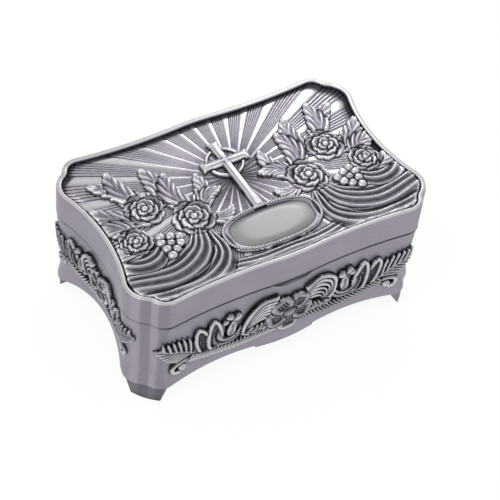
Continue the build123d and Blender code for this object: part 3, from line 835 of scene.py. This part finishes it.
def blossom(c, centre, size, low, high):
    """Five broad looped petals, one of them pointing down, round a ball."""
    for angle in (0.0, 1.257, -1.257, 2.513, -2.513):
        out = np.array((sin(angle), -cos(angle)))
        root, tip = np.array(centre) + 0.10 * size * out, np.array(centre) + size * out
        loop(c, root, tip, 0.96 * size, low, high - 0.17, rim=0.15 * size, pitch=0.12 * size,
             round_to=1.25, bed=0.55)
    ball(c, centre, 0.30 * size, low + 0.1, 0.42)


def bud(c, centre, size, low):
    """Cluster of three small balls over a pointed leaf."""
    (x, y), r = centre, size
    leaf(c, (x + 0.6, y - 6.4), (x, y - 0.4), 2.0 * r, low + 0.1, low + 0.6, 0.0, 2, 3.0, 0.0,
         0.12, 0.1)
    for dx, dy, share in ((-0.7, 0.2, 1.0), (1.1, 0.8, 0.9), (2.2, -0.5, 0.75)):
        ball(c, (x + dx, y + dy), share * r, low, 0.62)


def long_spray(c, outer, inner):
    """The right half of the long frieze, with a curled leaf between two lines."""
    feather(c, (24.4, -3.0), (34.4, 3.4), 8.2, 0.3, 1.0, 7, 0.04)
    hook(c, [(24.4, -4.0), (28.2, -3.4), (30.8, -4.6), (30.8, -6.4), (29.2, -7.0)], 1.7,
         0.35, 1.0, (28.4, -5.6), 1.15)
    loop(c, (21.8, -4.0), (24.8, 5.6), 4.6, 0.35, 1.15, 0.55, 0.6, 0.4, 0.7)
    loop(c, (19.6, -4.2), (20.6, 6.4), 4.6, 0.4, 1.25, 0.55, 0.6, 0.4, 0.7)
    cup(c, (16.6, -0.8), 4.4, 1.9, 0.35, 1.0, 0.42)
    cup(c, (16.2, 0.0), 3.4, 1.9, 0.45, 1.2, 0.45)
    bud(c, (15.2, 4.6), 1.35, 0.42)
    leaf(c, (12.6, -3.4), (4.4, -0.6), 3.6, 0.35, 1.1, 0.14, 5, 1.4, 0.2, 0.26)
    fan(c, outer, inner, 6, 0.4, 1.3)
    band(c, [(3, -4.6), (9, -5.6), (15, -5.8), (21, -5.0), (26.4, -3.6)], 2.7, 0.45, 0.55, 1.05,
         depth=0.26)


def long_frieze():
    c = Carving((-36.4, 36.4), (-8.6, 8.8), 0.165)
    long_spray(c, [(4.2, 5.6), (8.2, 7.4), (12.2, 4.8), (12.4, -0.2), (10.8, -2.8)],
               [(4.0, 0.8), (6.4, 1.0), (8.6, 0.2), (9.6, -1.2), (10.2, -2.4)])
    turned_over(c)
    long_spray(c, [(4.0, 6.4), (7.6, 6.2), (10.4, 3.6), (12.0, 0.2), (12.4, -3.0)],
               [(5.0, 0.2), (7.4, 0.0), (9.4, -0.8), (11.0, -2.0), (11.8, -3.2)])
    turned_over(c)
    blossom(c, (0, -0.6), 6.5, 0.4, 1.32)
    c.height = np.minimum(c.height, 1.31)
    return c


long_carving = long_frieze()
print("long frieze covers", round(float((long_carving.height > 0).mean()), 2), "of its field")

# %% Carve the short frieze


def short_frieze():
    c = Carving((-19.8, 19.8), (-7.4, 7.0), 0.165)
    feather(c, (11.4, -2.4), (19.0, 3.6), 6.2, 0.3, 0.95, 6, 0.04)
    hook(c, [(11.6, -3.2), (14.6, -2.9), (16.6, -4.0), (16.4, -5.4), (15.2, -5.8)], 1.4,
         0.35, 0.9, (14.6, -4.6), 0.95)
    loop(c, (9.4, -3.2), (12.2, 5.2), 4.0, 0.35, 1.0, 0.48, 0.55, 0.4, 0.7)
    cup(c, (8.4, -0.2), 3.2, 1.8, 0.35, 1.05, 0.45)
    bud(c, (7.8, 3.2), 1.05, 0.38)
    fan(c, [(2.6, 4.8), (5.0, 5.8), (7.0, 3.2), (6.6, -1.4)],
        [(2.4, 0.8), (4.0, 0.6), (5.2, -0.6), (5.4, -2.0)], 5, 0.4, 1.15)
    band(c, [(1, -3.8), (5, -4.4), (9, -4.3), (13.2, -3.0)], 2.2, 0.42, 0.5, 1.0, depth=0.22)
    blossom(c, (0, -0.2), 4.7, 0.4, 1.25)
    mirror_x(c)
    c.height = np.minimum(c.height, np.interp(np.abs(c.x), (8.0, 13.0), (1.33, 0.66)))
    return c


short_carving = short_frieze()
print("short frieze covers", round(float((short_carving.height > 0).mean()), 2), "of its field")

# %% [markdown]
# The wall leans and curves, so a carving is bent onto it: a point's place along the
# wall gives the outline and its normal, its height gives the wall's inset, and the
# relief stands out along the normal.

# %% Bend the carvings onto the walls


REACH = 0.49     # how far a long frieze stands out beyond the lid's outline


def wall_inset(z):
    levels = np.array(BASE_LEVELS)
    return np.interp(z, levels[:, 0], levels[:, 1])


def on_long_wall(side):
    """Places a carving on the front (side -1) or the back (side 1)."""
    half = quarter[:, 0].argmax()

    def place(x, y, height):
        u = np.abs(x)
        out = np.minimum(height - wall_inset(y + FRIEZE_CENTRE), REACH)
        px, nx, ny = quarter[:half, 0], quarter_normals[:half, 0], quarter_normals[:half, 1]
        wall_y = np.interp(u, px, quarter[:half, 1])
        nx, ny = np.interp(u, px, nx), np.interp(u, px, ny)
        along_x = np.sign(x) * (u + nx * out)
        return np.stack([-side * along_x, side * (wall_y + ny * out), y + FRIEZE_CENTRE], 1)

    return place


def on_short_wall(side):
    """Places a carving on the right (side 1) or the left (side -1)."""
    first = quarter[:, 1] < 21.0
    qy = quarter[first][::-1, 1]
    qx = quarter[first][::-1, 0]
    n = quarter_normals[first][::-1]

    def place(x, y, height):
        u = np.abs(x)
        out = height - wall_inset(y + SIDE_FRIEZE_CENTRE)
        wall_x = np.interp(u, qy, qx)
        nx, ny = np.interp(u, qy, n[:, 0]), np.interp(u, qy, n[:, 1])
        along_y = np.sign(x) * (u + ny * out)
        return np.stack([side * (wall_x + nx * out), side * along_y, y + SIDE_FRIEZE_CENTRE], 1)

    return place


for name, c, place in (
    ("front_frieze", long_carving, on_long_wall(-1)),
    ("back_frieze", long_carving, on_long_wall(1)),
    ("right_frieze", short_carving, on_short_wall(1)),
    ("left_frieze", short_carving, on_short_wall(-1)),
):
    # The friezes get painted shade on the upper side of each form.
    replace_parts(relief_piece("carved_" + name, c, place, "base", upper_shade=0.75), name)

# %% [markdown]
# ## The sunburst
#
# Behind the ornament the lid's panel is cast with rays: plain wedges that alternate
# with bundles of fine grooves, all from one point. The panel's edge follows the wavy
# outline, so Python makes a fan of spokes that ends there, and Geometry Nodes raise
# the rays on it, since the rays follow one rule.

# %% The panel as a fan of spokes
BURST = np.array((0.0, 4.0))
RAY_COUNT, RAY_RISE = 28, 0.35
SPOKES_PER_RAY, RINGS = 40, 10


def fan_panel():
    """Mesh of the panel: spokes from the burst's middle to the outline, and a flat back."""
    edge = whole_outline(4000, PANEL_INSET) - BURST
    angle = np.arctan2(edge[:, 1], edge[:, 0])
    order = np.argsort(angle)
    angle, reach = angle[order], np.hypot(*edge.T)[order]
    count = RAY_COUNT * SPOKES_PER_RAY
    spokes = np.linspace(-pi, pi, count, endpoint=False)
    reach = np.interp(spokes, angle, reach, period=2 * pi)
    share = (np.arange(1, RINGS + 1) / RINGS) ** 0.8
    xy = BURST + share[:, None, None] * (reach[:, None] * np.stack(
        [np.cos(spokes), np.sin(spokes)], 1))[None]
    top = np.concatenate([xy, np.full(xy.shape[:2] + (1,), PANEL_TOP)], 2).reshape(-1, 3)
    low = top[-count:] * (1, 1, 0) + (0, 0, PANEL_FLOOR)
    points = np.vstack([top, low, [[*BURST, PANEL_TOP]], [[*BURST, PANEL_FLOOR]]])
    i, nxt = np.arange(count), (np.arange(count) + 1) % count
    faces = [np.stack([r * count + i, (r + 1) * count + i, (r + 1) * count + nxt,
                       r * count + nxt], 1).tolist() for r in range(RINGS)]
    hub, under = len(points) - 2, len(points) - 1
    faces.append(np.stack([np.full(count, hub), i, nxt], 1).tolist())
    last = RINGS * count
    faces.append(np.stack([np.full(count, under), last + nxt, last + i], 1).tolist())
    return points, [f for part in faces for f in part]


panel_points, panel_faces = fan_panel()
print("fan of", RAY_COUNT * SPOKES_PER_RAY, "spokes,", len(panel_faces), "faces")

# %% [markdown]
# The tree finds each point's angle round the burst, counts rays, and lifts the plain
# ones with a soft crown. The bundles get grooves. It stores the wear as it goes, so
# that the antiqued finish knows hollows from crests.

# %% Geometry Nodes: rays


def tree_inputs(name, inputs):
    """New geometry tree with one geometry in and out, and named number inputs."""
    tree = bpy.data.node_groups.new(name, "GeometryNodeTree")
    tree.interface.new_socket("Geometry", in_out="INPUT", socket_type="NodeSocketGeometry")
    sockets = {}
    for label, value in inputs.items():
        kind = "NodeSocketInt" if isinstance(value, int) else "NodeSocketFloat"
        socket = tree.interface.new_socket(label, in_out="INPUT", socket_type=kind)
        socket.default_value = value
        sockets[label] = socket.identifier
    tree.interface.new_socket("Geometry", in_out="OUTPUT", socket_type="NodeSocketGeometry")
    start = tree.nodes.new("NodeGroupInput")
    wires = {s.name: Wire(tree, s) for s in start.outputs if s.name}
    return tree, wires, sockets


def tree_end(tree, shape, material):
    """Ends a tree in Realize Instances and Set Material."""
    real = add_node(tree, "GeometryNodeRealizeInstances", None, {"Geometry": shape})
    done = add_node(tree, "GeometryNodeSetMaterial", None, {"Geometry": real,
                                                            "Material": material})
    end = tree.nodes.new("NodeGroupOutput")
    tree.links.new(done.socket, end.inputs[0])


def baked(piece, tree, sockets, values):
    """Runs a geometry tree on a piece, and keeps the result as its plain mesh."""
    modifier = piece.modifiers.new(tree.name, "NODES")
    modifier.node_group = tree
    for label, value in values.items():
        modifier[sockets[label]] = value
    graph = bpy.context.evaluated_depsgraph_get()
    made = bpy.data.meshes.new_from_object(piece.evaluated_get(graph))
    piece.modifiers.remove(modifier)
    old, piece.data = piece.data, made
    bpy.data.meshes.remove(old)
    made.name = piece.name
    print(piece.name, "from tree", tree.name, "has", len(made.polygons), "faces")
    return piece


def ray_tree():
    inputs = {"Rays": RAY_COUNT, "Plain share": 0.42, "Grooves": 5, "Rise": RAY_RISE * MM,
              "Groove depth": 0.22 * MM, "Centre y": float(BURST[1]) * MM, "Seed": 7}
    tree, wires, sockets = tree_inputs("sunburst_rays", inputs)
    position = add_node(tree, "GeometryNodeInputPosition")
    split = position.node("ShaderNodeSeparateXYZ", None, (position,)).socket.node
    x, y, z = (Wire(tree, split.outputs[k]) for k in range(3))
    y = y - wires["Centre y"]
    turn = x.math("ARCTAN2", y, x) / (2 * pi) * wires["Rays"] + 1000.0
    number = turn.math("FLOOR", turn)
    phase = turn - number
    odd = position.node("FunctionNodeRandomValue", {"data_type": "FLOAT"},
                        {2: 0.55, 3: 1.0, 7: number, 8: wires["Seed"]}, 1)
    share = wires["Plain share"] * (0.55 + 0.6 * odd)
    is_plain = phase.math("LESS_THAN", phase, share)
    across = phase / share
    crown = (across * (1.0 - across) * 4.0).clamped() ** 0.35
    strokes = ((phase - share) / (1.0 - share) * wires["Grooves"])
    groove = 0.5 + 0.5 * strokes.math("COSINE", strokes * (2 * pi))
    groove = 1.0 - groove ** 5.0
    distance = (x * x + y * y) ** 0.5
    swell = (distance / (14.0 * MM)).clamped()
    top = z.math("GREATER_THAN", z, (PANEL_TOP - 0.1) * MM)
    plain_rise = wires["Rise"] * odd * crown
    comb_rise = wires["Rise"] * 0.75 - wires["Groove depth"] * (1.0 - groove)
    rise = (is_plain * plain_rise + (1.0 - is_plain) * comb_rise) * swell * top
    offset = position.node("ShaderNodeCombineXYZ", None, {2: rise})
    shaped = position.node("GeometryNodeSetPosition", None,
                           {"Geometry": wires["Geometry"], "Offset": offset})
    wear = (is_plain * (0.25 + 0.72 * crown) + (1.0 - is_plain) * (0.08 + 0.72 * groove))
    wear = wear * (0.35 + 0.65 * swell)
    stored = position.node("GeometryNodeStoreNamedAttribute", {"data_type": "FLOAT"},
                           {"Geometry": shaped, "Name": "wear", "Value": wear})
    tree_end(tree, stored, pewter_relief)
    return tree, sockets, inputs


sunburst = mesh_piece("sunburst_rays", panel_points, panel_faces, pewter_relief, "lid")
baked(sunburst, *ray_tree())
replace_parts(sunburst, "lid_sunburst")

# %% [markdown]
# ## The lid's ornament
#
# In front of the rays stands a cross over a plain cartouche, between sprays of roses,
# leaves, grapes and hanging cloth. It is carved on one grid, back to front, as high as the
# rim allows.

# %% Motifs for the lid


def rose(c, centre, radius, low, high, turn=0.0):
    """Open rose: three rings of smooth, rolled petals round a closed bud."""
    for share, count, rise, spin in ((1.0, 5, 0.4, 0.0), (0.68, 5, 0.7, 0.6), (0.40, 3, 1.0, 0.2)):
        size = radius * share
        level = low + (high - low) * rise
        petals(c, centre, size * 0.54, size * 0.50, count, level - 0.45, level, turn + spin,
               1.2, 0.10, 0.0)
    ball(c, centre, radius * 0.17, high - 0.35, 0.6)


def grapes(c, top, size, low, rows=(4, 3, 3, 2, 1), hang=-pi / 2):
    """Bunch of grapes that narrows downwards, along the angle hang."""
    down = np.array((cos(hang), sin(hang)))
    across = np.array((-down[1], down[0]))
    for k, count in reversed(list(enumerate(rows))):
        for n in range(count):
            shift = (n - (count - 1) / 2) * size * 1.75
            middle = np.array(top) + down * size * 1.5 * k + across * shift
            ball(c, middle, size, low + 0.12 * ((n + k) % 2), 0.75)


print("rose and grapes ready")

# %% The cross and the cartouche
CARTOUCHE, CARTOUCHE_HALF = (0.0, -13.4), (13.0, 6.4)
CROSS_ARM_Y, CROSS_TOP, CROSS_FOOT, CROSS_ARM, CROSS_WIDTH = 8.8, 15.5, -8.0, 6.4, 2.4


def cross(c, low, high):
    """Cross with flared ends and bevelled edges, inside a ring."""
    window, x, y = c.window([(-CROSS_ARM, CROSS_FOOT), (CROSS_ARM, CROSS_TOP)], 3.0)
    around = np.hypot(x, y - CROSS_ARM_Y)
    ring = 0.55 - np.abs(around - 4.4)
    c.lay(window, ring, np.full(x.shape, low + 0.35), roll=0.4)
    flare = CROSS_WIDTH / 2 * (1 + 0.55 * np.clip((around - 4.0) / 3.0, 0, 1) ** 2)
    up_end = np.minimum(y - CROSS_FOOT, CROSS_TOP - y)
    shaft = CROSS_WIDTH / 2 * (1 + 0.25 * np.clip((1.0 - y) / 9.0, 0, 1))
    upright = np.minimum(np.where(y > CROSS_ARM_Y, flare, shaft) - np.abs(x), up_end)
    arms = np.minimum(flare - np.abs(y - CROSS_ARM_Y), CROSS_ARM - np.abs(x))
    edge = np.maximum(upright, arms)
    line = 0.16 * np.exp(-(((edge - 0.62) / 0.14) ** 2))
    top = np.minimum(low + 0.35 + edge * 1.0, high) - line
    c.lay(window, edge, top, roll=0.22, groove=0.45)


def oval(count, grow=0.0):
    """Points of the cartouche's outline, a rounded oval, moved out by grow."""
    t = np.linspace(0, 2 * pi, count, endpoint=False)
    across = np.sign(np.cos(t)) * np.abs(np.cos(t)) ** 0.77 * (CARTOUCHE_HALF[0] + grow)
    up = np.sign(np.sin(t)) * np.abs(np.sin(t)) ** 0.77 * (CARTOUCHE_HALF[1] + grow)
    return np.stack([CARTOUCHE[0] + across, CARTOUCHE[1] + up], 1)


def cartouche(c, low, high):
    """Bed of the oval plate, with a smooth raised border round it."""
    (cx, cy), (hx, hy) = CARTOUCHE, CARTOUCHE_HALF
    window, x, y = c.window([(cx - hx, cy - hy), (cx + hx, cy + hy)], 1.5)
    u, v = (x - cx) / hx, (y - cy) / hy
    r = (np.abs(u) ** 2.6 + np.abs(v) ** 2.6) ** (1 / 2.6)
    edge = (1 - r) * hy * 1.15
    border = np.sqrt(np.clip(1 - ((edge - 0.75) / 0.75) ** 2, 0, 1)) * (edge < 1.5)
    c.lay(window, edge, low + (high - low) * border, roll=0.2, groove=0.4)


print("cross and cartouche ready")

# %% Carve the lid's ornament


def inside_panel(x, y):
    """How far each point lies inside the panel's wavy edge, in millimetres."""
    line = quarter - (PANEL_INSET + 0.06) * quarter_normals
    depth = np.empty(x.shape)
    for row in range(len(x)):
        dx = np.abs(x[row])[:, None] - line[:, 0]
        dy = np.abs(y[row])[:, None] - line[:, 1]
        near = (dx**2 + dy**2).argmin(1)
        pick = np.arange(len(near)), near
        depth[row] = -(dx[pick] * quarter_normals[near, 0] + dy[pick] * quarter_normals[near, 1])
    return depth


def lid_relief():
    c = Carving((-38.2, 38.2), (-23.4, 20.4), 0.22)
    far = [
        ((24, 1), (36.6, 8.4), 7.0, -0.16), ((24.5, 3), (33.6, 15.4), 6.6, 0.14),
        ((23.5, 3), (27.6, 18.0), 6.2, -0.10), ((21, 2), (19.8, 15.6), 6.2, 0.14),
        ((14.5, -2), (15.2, 12.0), 6.0, -0.14), ((13.5, -2), (8.6, 8.6), 5.2, 0.16),
        ((29, -5), (38.2, 2.2), 6.4, 0.14), ((12, -3), (4.8, 1.8), 4.6, -0.2),
    ]
    cloths = [
        ([(14.5, -9.0), (15.6, -16.6), (23.5, -21.0), (37.0, -20.8)], 9.0, 1.15, 5, (0.3, 0.9)),
        ([(16.0, -7.5), (19.5, -13.6), (27.5, -17.0), (39.0, -15.6)], 8.0, 1.3, 4, (0.35, 0.9)),
        ([(25.0, -8.0), (29.0, -11.4), (34.0, -11.6), (39.5, -8.0)], 5.6, 1.25, 3, (0.5, 0.9)),
    ]
    drape(c, [(0, -21.9), (8, -21.7), (15, -20.4), (22, -17.8)], 4.2, 0.45, 0.95, 3, 0.3,
          (1.0, 0.4))
    cartouche(c, 0.55, 0.95)
    for base, tip, width, bow in far:
        leaf(c, base, tip, width, 0.45, 1.25, bow, 4, 2.4, 0.2, 0.2)
    for points, width, high, folds, ends in cloths:
        drape(c, points, width, 0.5, high, folds, 0.4, ends)
    leaf(c, (12.4, -6), (5.2, -4.6), 4.2, 0.5, 1.3, 0.2, 4, 2.2, 0.2, 0.2)
    leaf(c, (30, -8), (38.6, -4.2), 5.0, 0.5, 1.3, -0.14, 4, 2.2, 0.2, 0.2)
    grapes(c, (23.4, -6.9), 1.25, 0.75, (3, 3, 2, 1), hang=-1.2)
    rose(c, (15.5, -4.0), 5.3, 0.7, 1.66, 0.3)
    rose(c, (24.6, 3.0), 4.9, 0.7, 1.6, 0.0)
    rose(c, (31.0, -5.0), 4.2, 0.7, 1.5, 0.6)
    mirror_x(c)
    cross(c, 0.5, 1.35)
    x, y = np.meshgrid(c.x, c.y)
    c.height = np.where(inside_panel(x, y) > 0, np.minimum(c.height, 1.68), BURIED)
    return c


lid_carving = lid_relief()


def on_panel(x, y, height):
    return np.stack([x, y, PANEL_TOP + height], 1)


ornament = relief_piece("carved_lid_ornament", lid_carving, on_panel, "lid", back=-0.2,
                        depth=1.15)
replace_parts(ornament, "lid_ornament")

# %% [markdown]
# The cartouche itself is a plain brushed plate, and a string of pearls lies round it.
# Pearls are one small ball set again and again along a line, which is work for
# Geometry Nodes: they place the balls at even steps, each a little different in size.

# %% Plate and pearls
PLATE_TOP, PEARL_LINE = 0.72, -0.62          # above the panel; from the oval's outline


def plate():
    """Flat oval with a softly rolled edge, sunk in its bed."""
    count = 160
    edge = oval(count, -1.15)
    centre = np.array(CARTOUCHE)
    levels = [np.column_stack([centre + (edge - centre) * share,
                               np.full(count, PANEL_TOP + PLATE_TOP - drop)])
              for share, drop in ((0.97, 0.5), (1.0, 0.15), (0.985, 0.03), (0.6, 0.0), (0.25, 0.0))]
    points = np.concatenate(levels)
    i, nxt = np.arange(count), (np.arange(count) + 1) % count
    faces = [list(range(count))[::-1]]
    for r in range(len(levels) - 1):
        a, b = r * count, (r + 1) * count
        faces += np.stack([a + i, a + nxt, b + nxt, b + i], 1).tolist()
    faces.append(list(range(len(points) - count, len(points))))
    return mesh_piece("cartouche_plate", points, faces, pewter_plate, "lid")


def pearl_tree():
    inputs = {"Pearls": 84, "Radius": 0.46 * MM, "Least size": 0.94, "Greatest size": 1.06,
              "Hollow level": (PANEL_TOP + 0.75) * MM, "Crest level": (PANEL_TOP + 1.25) * MM,
              "Seed": 11}
    tree, wires, sockets = tree_inputs("pearl_border", inputs)
    line = add_node(tree, "GeometryNodeMeshToCurve", None, {"Mesh": wires["Geometry"]})
    even = line.node("GeometryNodeResampleCurve", None, {"Curve": line, "Count": wires["Pearls"]})
    pearl = line.node("GeometryNodeMeshUVSphere", None,
                      {"Segments": 10, "Rings": 6, "Radius": wires["Radius"]})
    size = line.node("FunctionNodeRandomValue", {"data_type": "FLOAT"},
                     {2: wires["Least size"], 3: wires["Greatest size"], 8: wires["Seed"]}, 1)
    scale = line.node("ShaderNodeCombineXYZ", None, (size, size, size))
    placed = line.node("GeometryNodeInstanceOnPoints", None,
                       {"Points": even, "Instance": pearl, "Scale": scale})
    real = line.node("GeometryNodeRealizeInstances", None, {"Geometry": placed})
    soft = line.node("GeometryNodeSetShadeSmooth", None, {"Geometry": real})
    position = add_node(tree, "GeometryNodeInputPosition")
    z = Wire(tree, position.node("ShaderNodeSeparateXYZ", None, (position,)).socket.node.outputs[2])
    wear = 0.15 + 0.75 * z.between(wires["Hollow level"], wires["Crest level"])
    stored = line.node("GeometryNodeStoreNamedAttribute", {"data_type": "FLOAT"},
                       {"Geometry": soft, "Name": "wear", "Value": wear})
    tree_end(tree, stored, pewter_relief)
    return tree, sockets, inputs


plate()
string = mesh_piece("cartouche_pearls", np.column_stack([oval(400, PEARL_LINE), np.full(
    400, PANEL_TOP + 0.9)]), [], pewter_relief, "lid",
    edges=[(k, (k + 1) % 400) for k in range(400)])
baked(string, *pearl_tree())

# %% [markdown]
# ## The rim
#
# The lid's rim is a soft bead, finished lighter than the walls: painted light on its top.
# The CAD rim is flat on top, so a thin bead is laid on it, swept round the outline.

# %% Bead on the rim


def rim_bead():
    inner, outer, sink, rise = RIM_WIDTH - 0.02, 0.12, 0.12, 0.16
    angles = np.linspace(0, pi, 11)
    middle, half = (inner + outer) / 2, (inner - outer) / 2
    crown = [(middle - half * cos(a), RIM_TOP + rise * sin(a) ** 0.8 - 0.03) for a in angles]
    profile = crown + [(inner, RIM_TOP - sink), (outer, RIM_TOP - sink)]
    return swept("rim_bead", profile[::-1], 480, pewter_rim_painted_light, "lid")


rim_bead()
print("rim bead made")

# %% [markdown]
# ## The lining
#
# Card covered in velvet lies in the base and in the lid, and a velvet strip runs round
# the wall. A thin card pad doesn't billow, so its form is set by a rule: full in the
# middle and rolled down at its edge.

# %% Velvet pads and strip


def velvet_pad(name, inset, low, high, body, face=1):
    """Closed pad with a rolled edge. face is 1 where it shows from above, else -1."""
    count, rings = 320, 14
    edge = whole_outline(count, inset)
    thick = high - low
    share = 1 - (1 - np.arange(1, rings + 1) / rings) ** 1.7
    points, faces = [], []
    for t in share:
        d = np.clip((1 - t) * 20.0, 0, 1.0)
        roll = sqrt(max(0.0, d * (2 - d)))
        puff = 0.75 + 0.25 * (1 - t**3)
        z = thick * (0.25 + 0.75 * roll * puff)
        points.append(np.column_stack([edge * t, np.full(count, z)]))
    points.append(np.column_stack([edge, np.zeros(count)]))
    points = np.vstack(points + [[[0, 0, thick]], [[0, 0, 0]]])
    points[:, 2] = low + points[:, 2] if face > 0 else high - points[:, 2]
    i, nxt = np.arange(count), (np.arange(count) + 1) % count
    hub, under = len(points) - 2, len(points) - 1
    for r in range(rings):
        faces += np.stack([r * count + i, (r + 1) * count + i, (r + 1) * count + nxt,
                           r * count + nxt], 1).tolist()
    faces += np.stack([np.full(count, hub), i, nxt], 1).tolist()
    faces += np.stack([np.full(count, under), rings * count + nxt, rings * count + i], 1).tolist()
    if face < 0:
        faces = [f[::-1] for f in faces]
    piece = mesh_piece(name, points, faces, velvet, body)
    return piece


low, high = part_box("base_floor_pad")
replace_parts(velvet_pad("velvet_floor_pad", 2.9, low.z / MM, high.z / MM, "base"),
            "base_floor_pad")
low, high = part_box("lid_pad")
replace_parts(velvet_pad("velvet_lid_pad", 1.7, low.z / MM, high.z / MM, "lid", -1), "lid_pad")
print("pads made")

# %% The strip round the wall


def wall_strip():
    low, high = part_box("base_wall_lining")
    z0, z1 = low.z / MM, high.z / MM
    outer, inner = 2.22, 2.78
    profile = [(outer, z0), (inner, z0), (inner, z1 - 0.25), (inner - 0.12, z1 - 0.06),
               (inner - 0.28, z1), (outer + 0.1, z1), (outer, z1 - 0.1)]
    strip = swept("velvet_wall_strip", profile[::-1], 480, velvet, "base")
    middle = whole_outline(480, (outer + inner) / 2)
    girth = np.hypot(*(middle - np.roll(middle, 1, 0)).T).sum()
    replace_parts(strip, "base_wall_lining")
    return girth


print("strip is", round(wall_strip(), 1), "mm long")

# %% [markdown]
# ## Floor, lamps and background
#
# A product photograph on white: large soft lamps, and a floor that the camera and the
# metal see as nearly white but that still takes the box's shadow.

# %% The floor


def floor_finish():
    material = bpy.data.materials.new("pale_floor")
    material.use_nodes = True
    tree = material.node_tree
    shader = tree.nodes["Principled BSDF"]
    shader.inputs["Base Color"].default_value = grey(0.95)
    shader.inputs["Roughness"].default_value = 0.9
    shader.inputs["Specular IOR Level"].default_value = 0.0
    seen = add_node(tree, "ShaderNodeLightPath", output=0)
    glossy = Wire(tree, seen.socket.node.outputs["Is Glossy Ray"])
    through = Wire(tree, seen.socket.node.outputs["Is Transmission Ray"])
    glow = add_node(tree, "ShaderNodeEmission", None, {"Color": grey(1.0), "Strength": 1.06})
    share = (seen + glossy + through).clamped() * 0.86
    both = add_node(tree, "ShaderNodeMixShader", None, {0: share, 2: glow})
    tree.links.new(shader.outputs[0], both.socket.node.inputs[1])
    tree.links.new(both.socket, tree.nodes["Material Output"].inputs["Surface"])
    return material


reach = 3.0
floor_mesh = bpy.data.meshes.new("floor")
floor_mesh.from_pydata([(-reach, -reach, 0), (reach, -reach, 0), (reach, reach, 0),
                        (-reach, reach, 0)], [], [(0, 1, 2, 3)])
floor_mesh.materials.append(floor_finish())
floor = bpy.data.objects.new("floor", floor_mesh)
bpy.context.scene.collection.objects.link(floor)
print("floor made")

# %% World and lamps


def world_light(level):
    """Even grey light from all round, white where the camera or a reflection sees it."""
    world = bpy.data.worlds.new("studio")
    bpy.context.scene.world = world
    world.use_nodes = True
    tree = world.node_tree
    seen = add_node(tree, "ShaderNodeLightPath", output=0)
    glossy = Wire(tree, seen.socket.node.outputs["Is Glossy Ray"])
    through = Wire(tree, seen.socket.node.outputs["Is Transmission Ray"])
    tree.nodes["Background"].inputs["Color"].default_value = grey(1.0)
    strength = level + (1.0 - level) * (seen + glossy + through).clamped()
    tree.links.new(strength.socket, tree.nodes["Background"].inputs["Strength"])


def lamp(name, place, size, power):
    """Square soft lamp that looks at the box."""
    light = bpy.data.lights.new(name, "AREA")
    light.shape, light.size, light.energy = "SQUARE", size, power
    made = bpy.data.objects.new(name, light)
    bpy.context.scene.collection.objects.link(made)
    away = Vector(place) - Vector((0, 0, 0.02))
    made.matrix_world = (Matrix.Translation(Vector(place))
                         @ away.to_track_quat("Z", "Y").to_matrix().to_4x4())


world_light(0.5)
lamp("key_lamp", (-0.35, -0.10, 0.60), 0.30, 1.0)
lamp("back_lamp", (0.100, 0.124, 0.155), 0.05, 0.05)
lamp("front_lamp", (0.25, -0.65, 0.30), 0.30, 0.4)
print("lamps made")

# %% [markdown]
# ## The end
#
# The colours are shown as they are.

# %% Show the colours as they are
scene = bpy.context.scene
scene.view_settings.view_transform = "Standard"
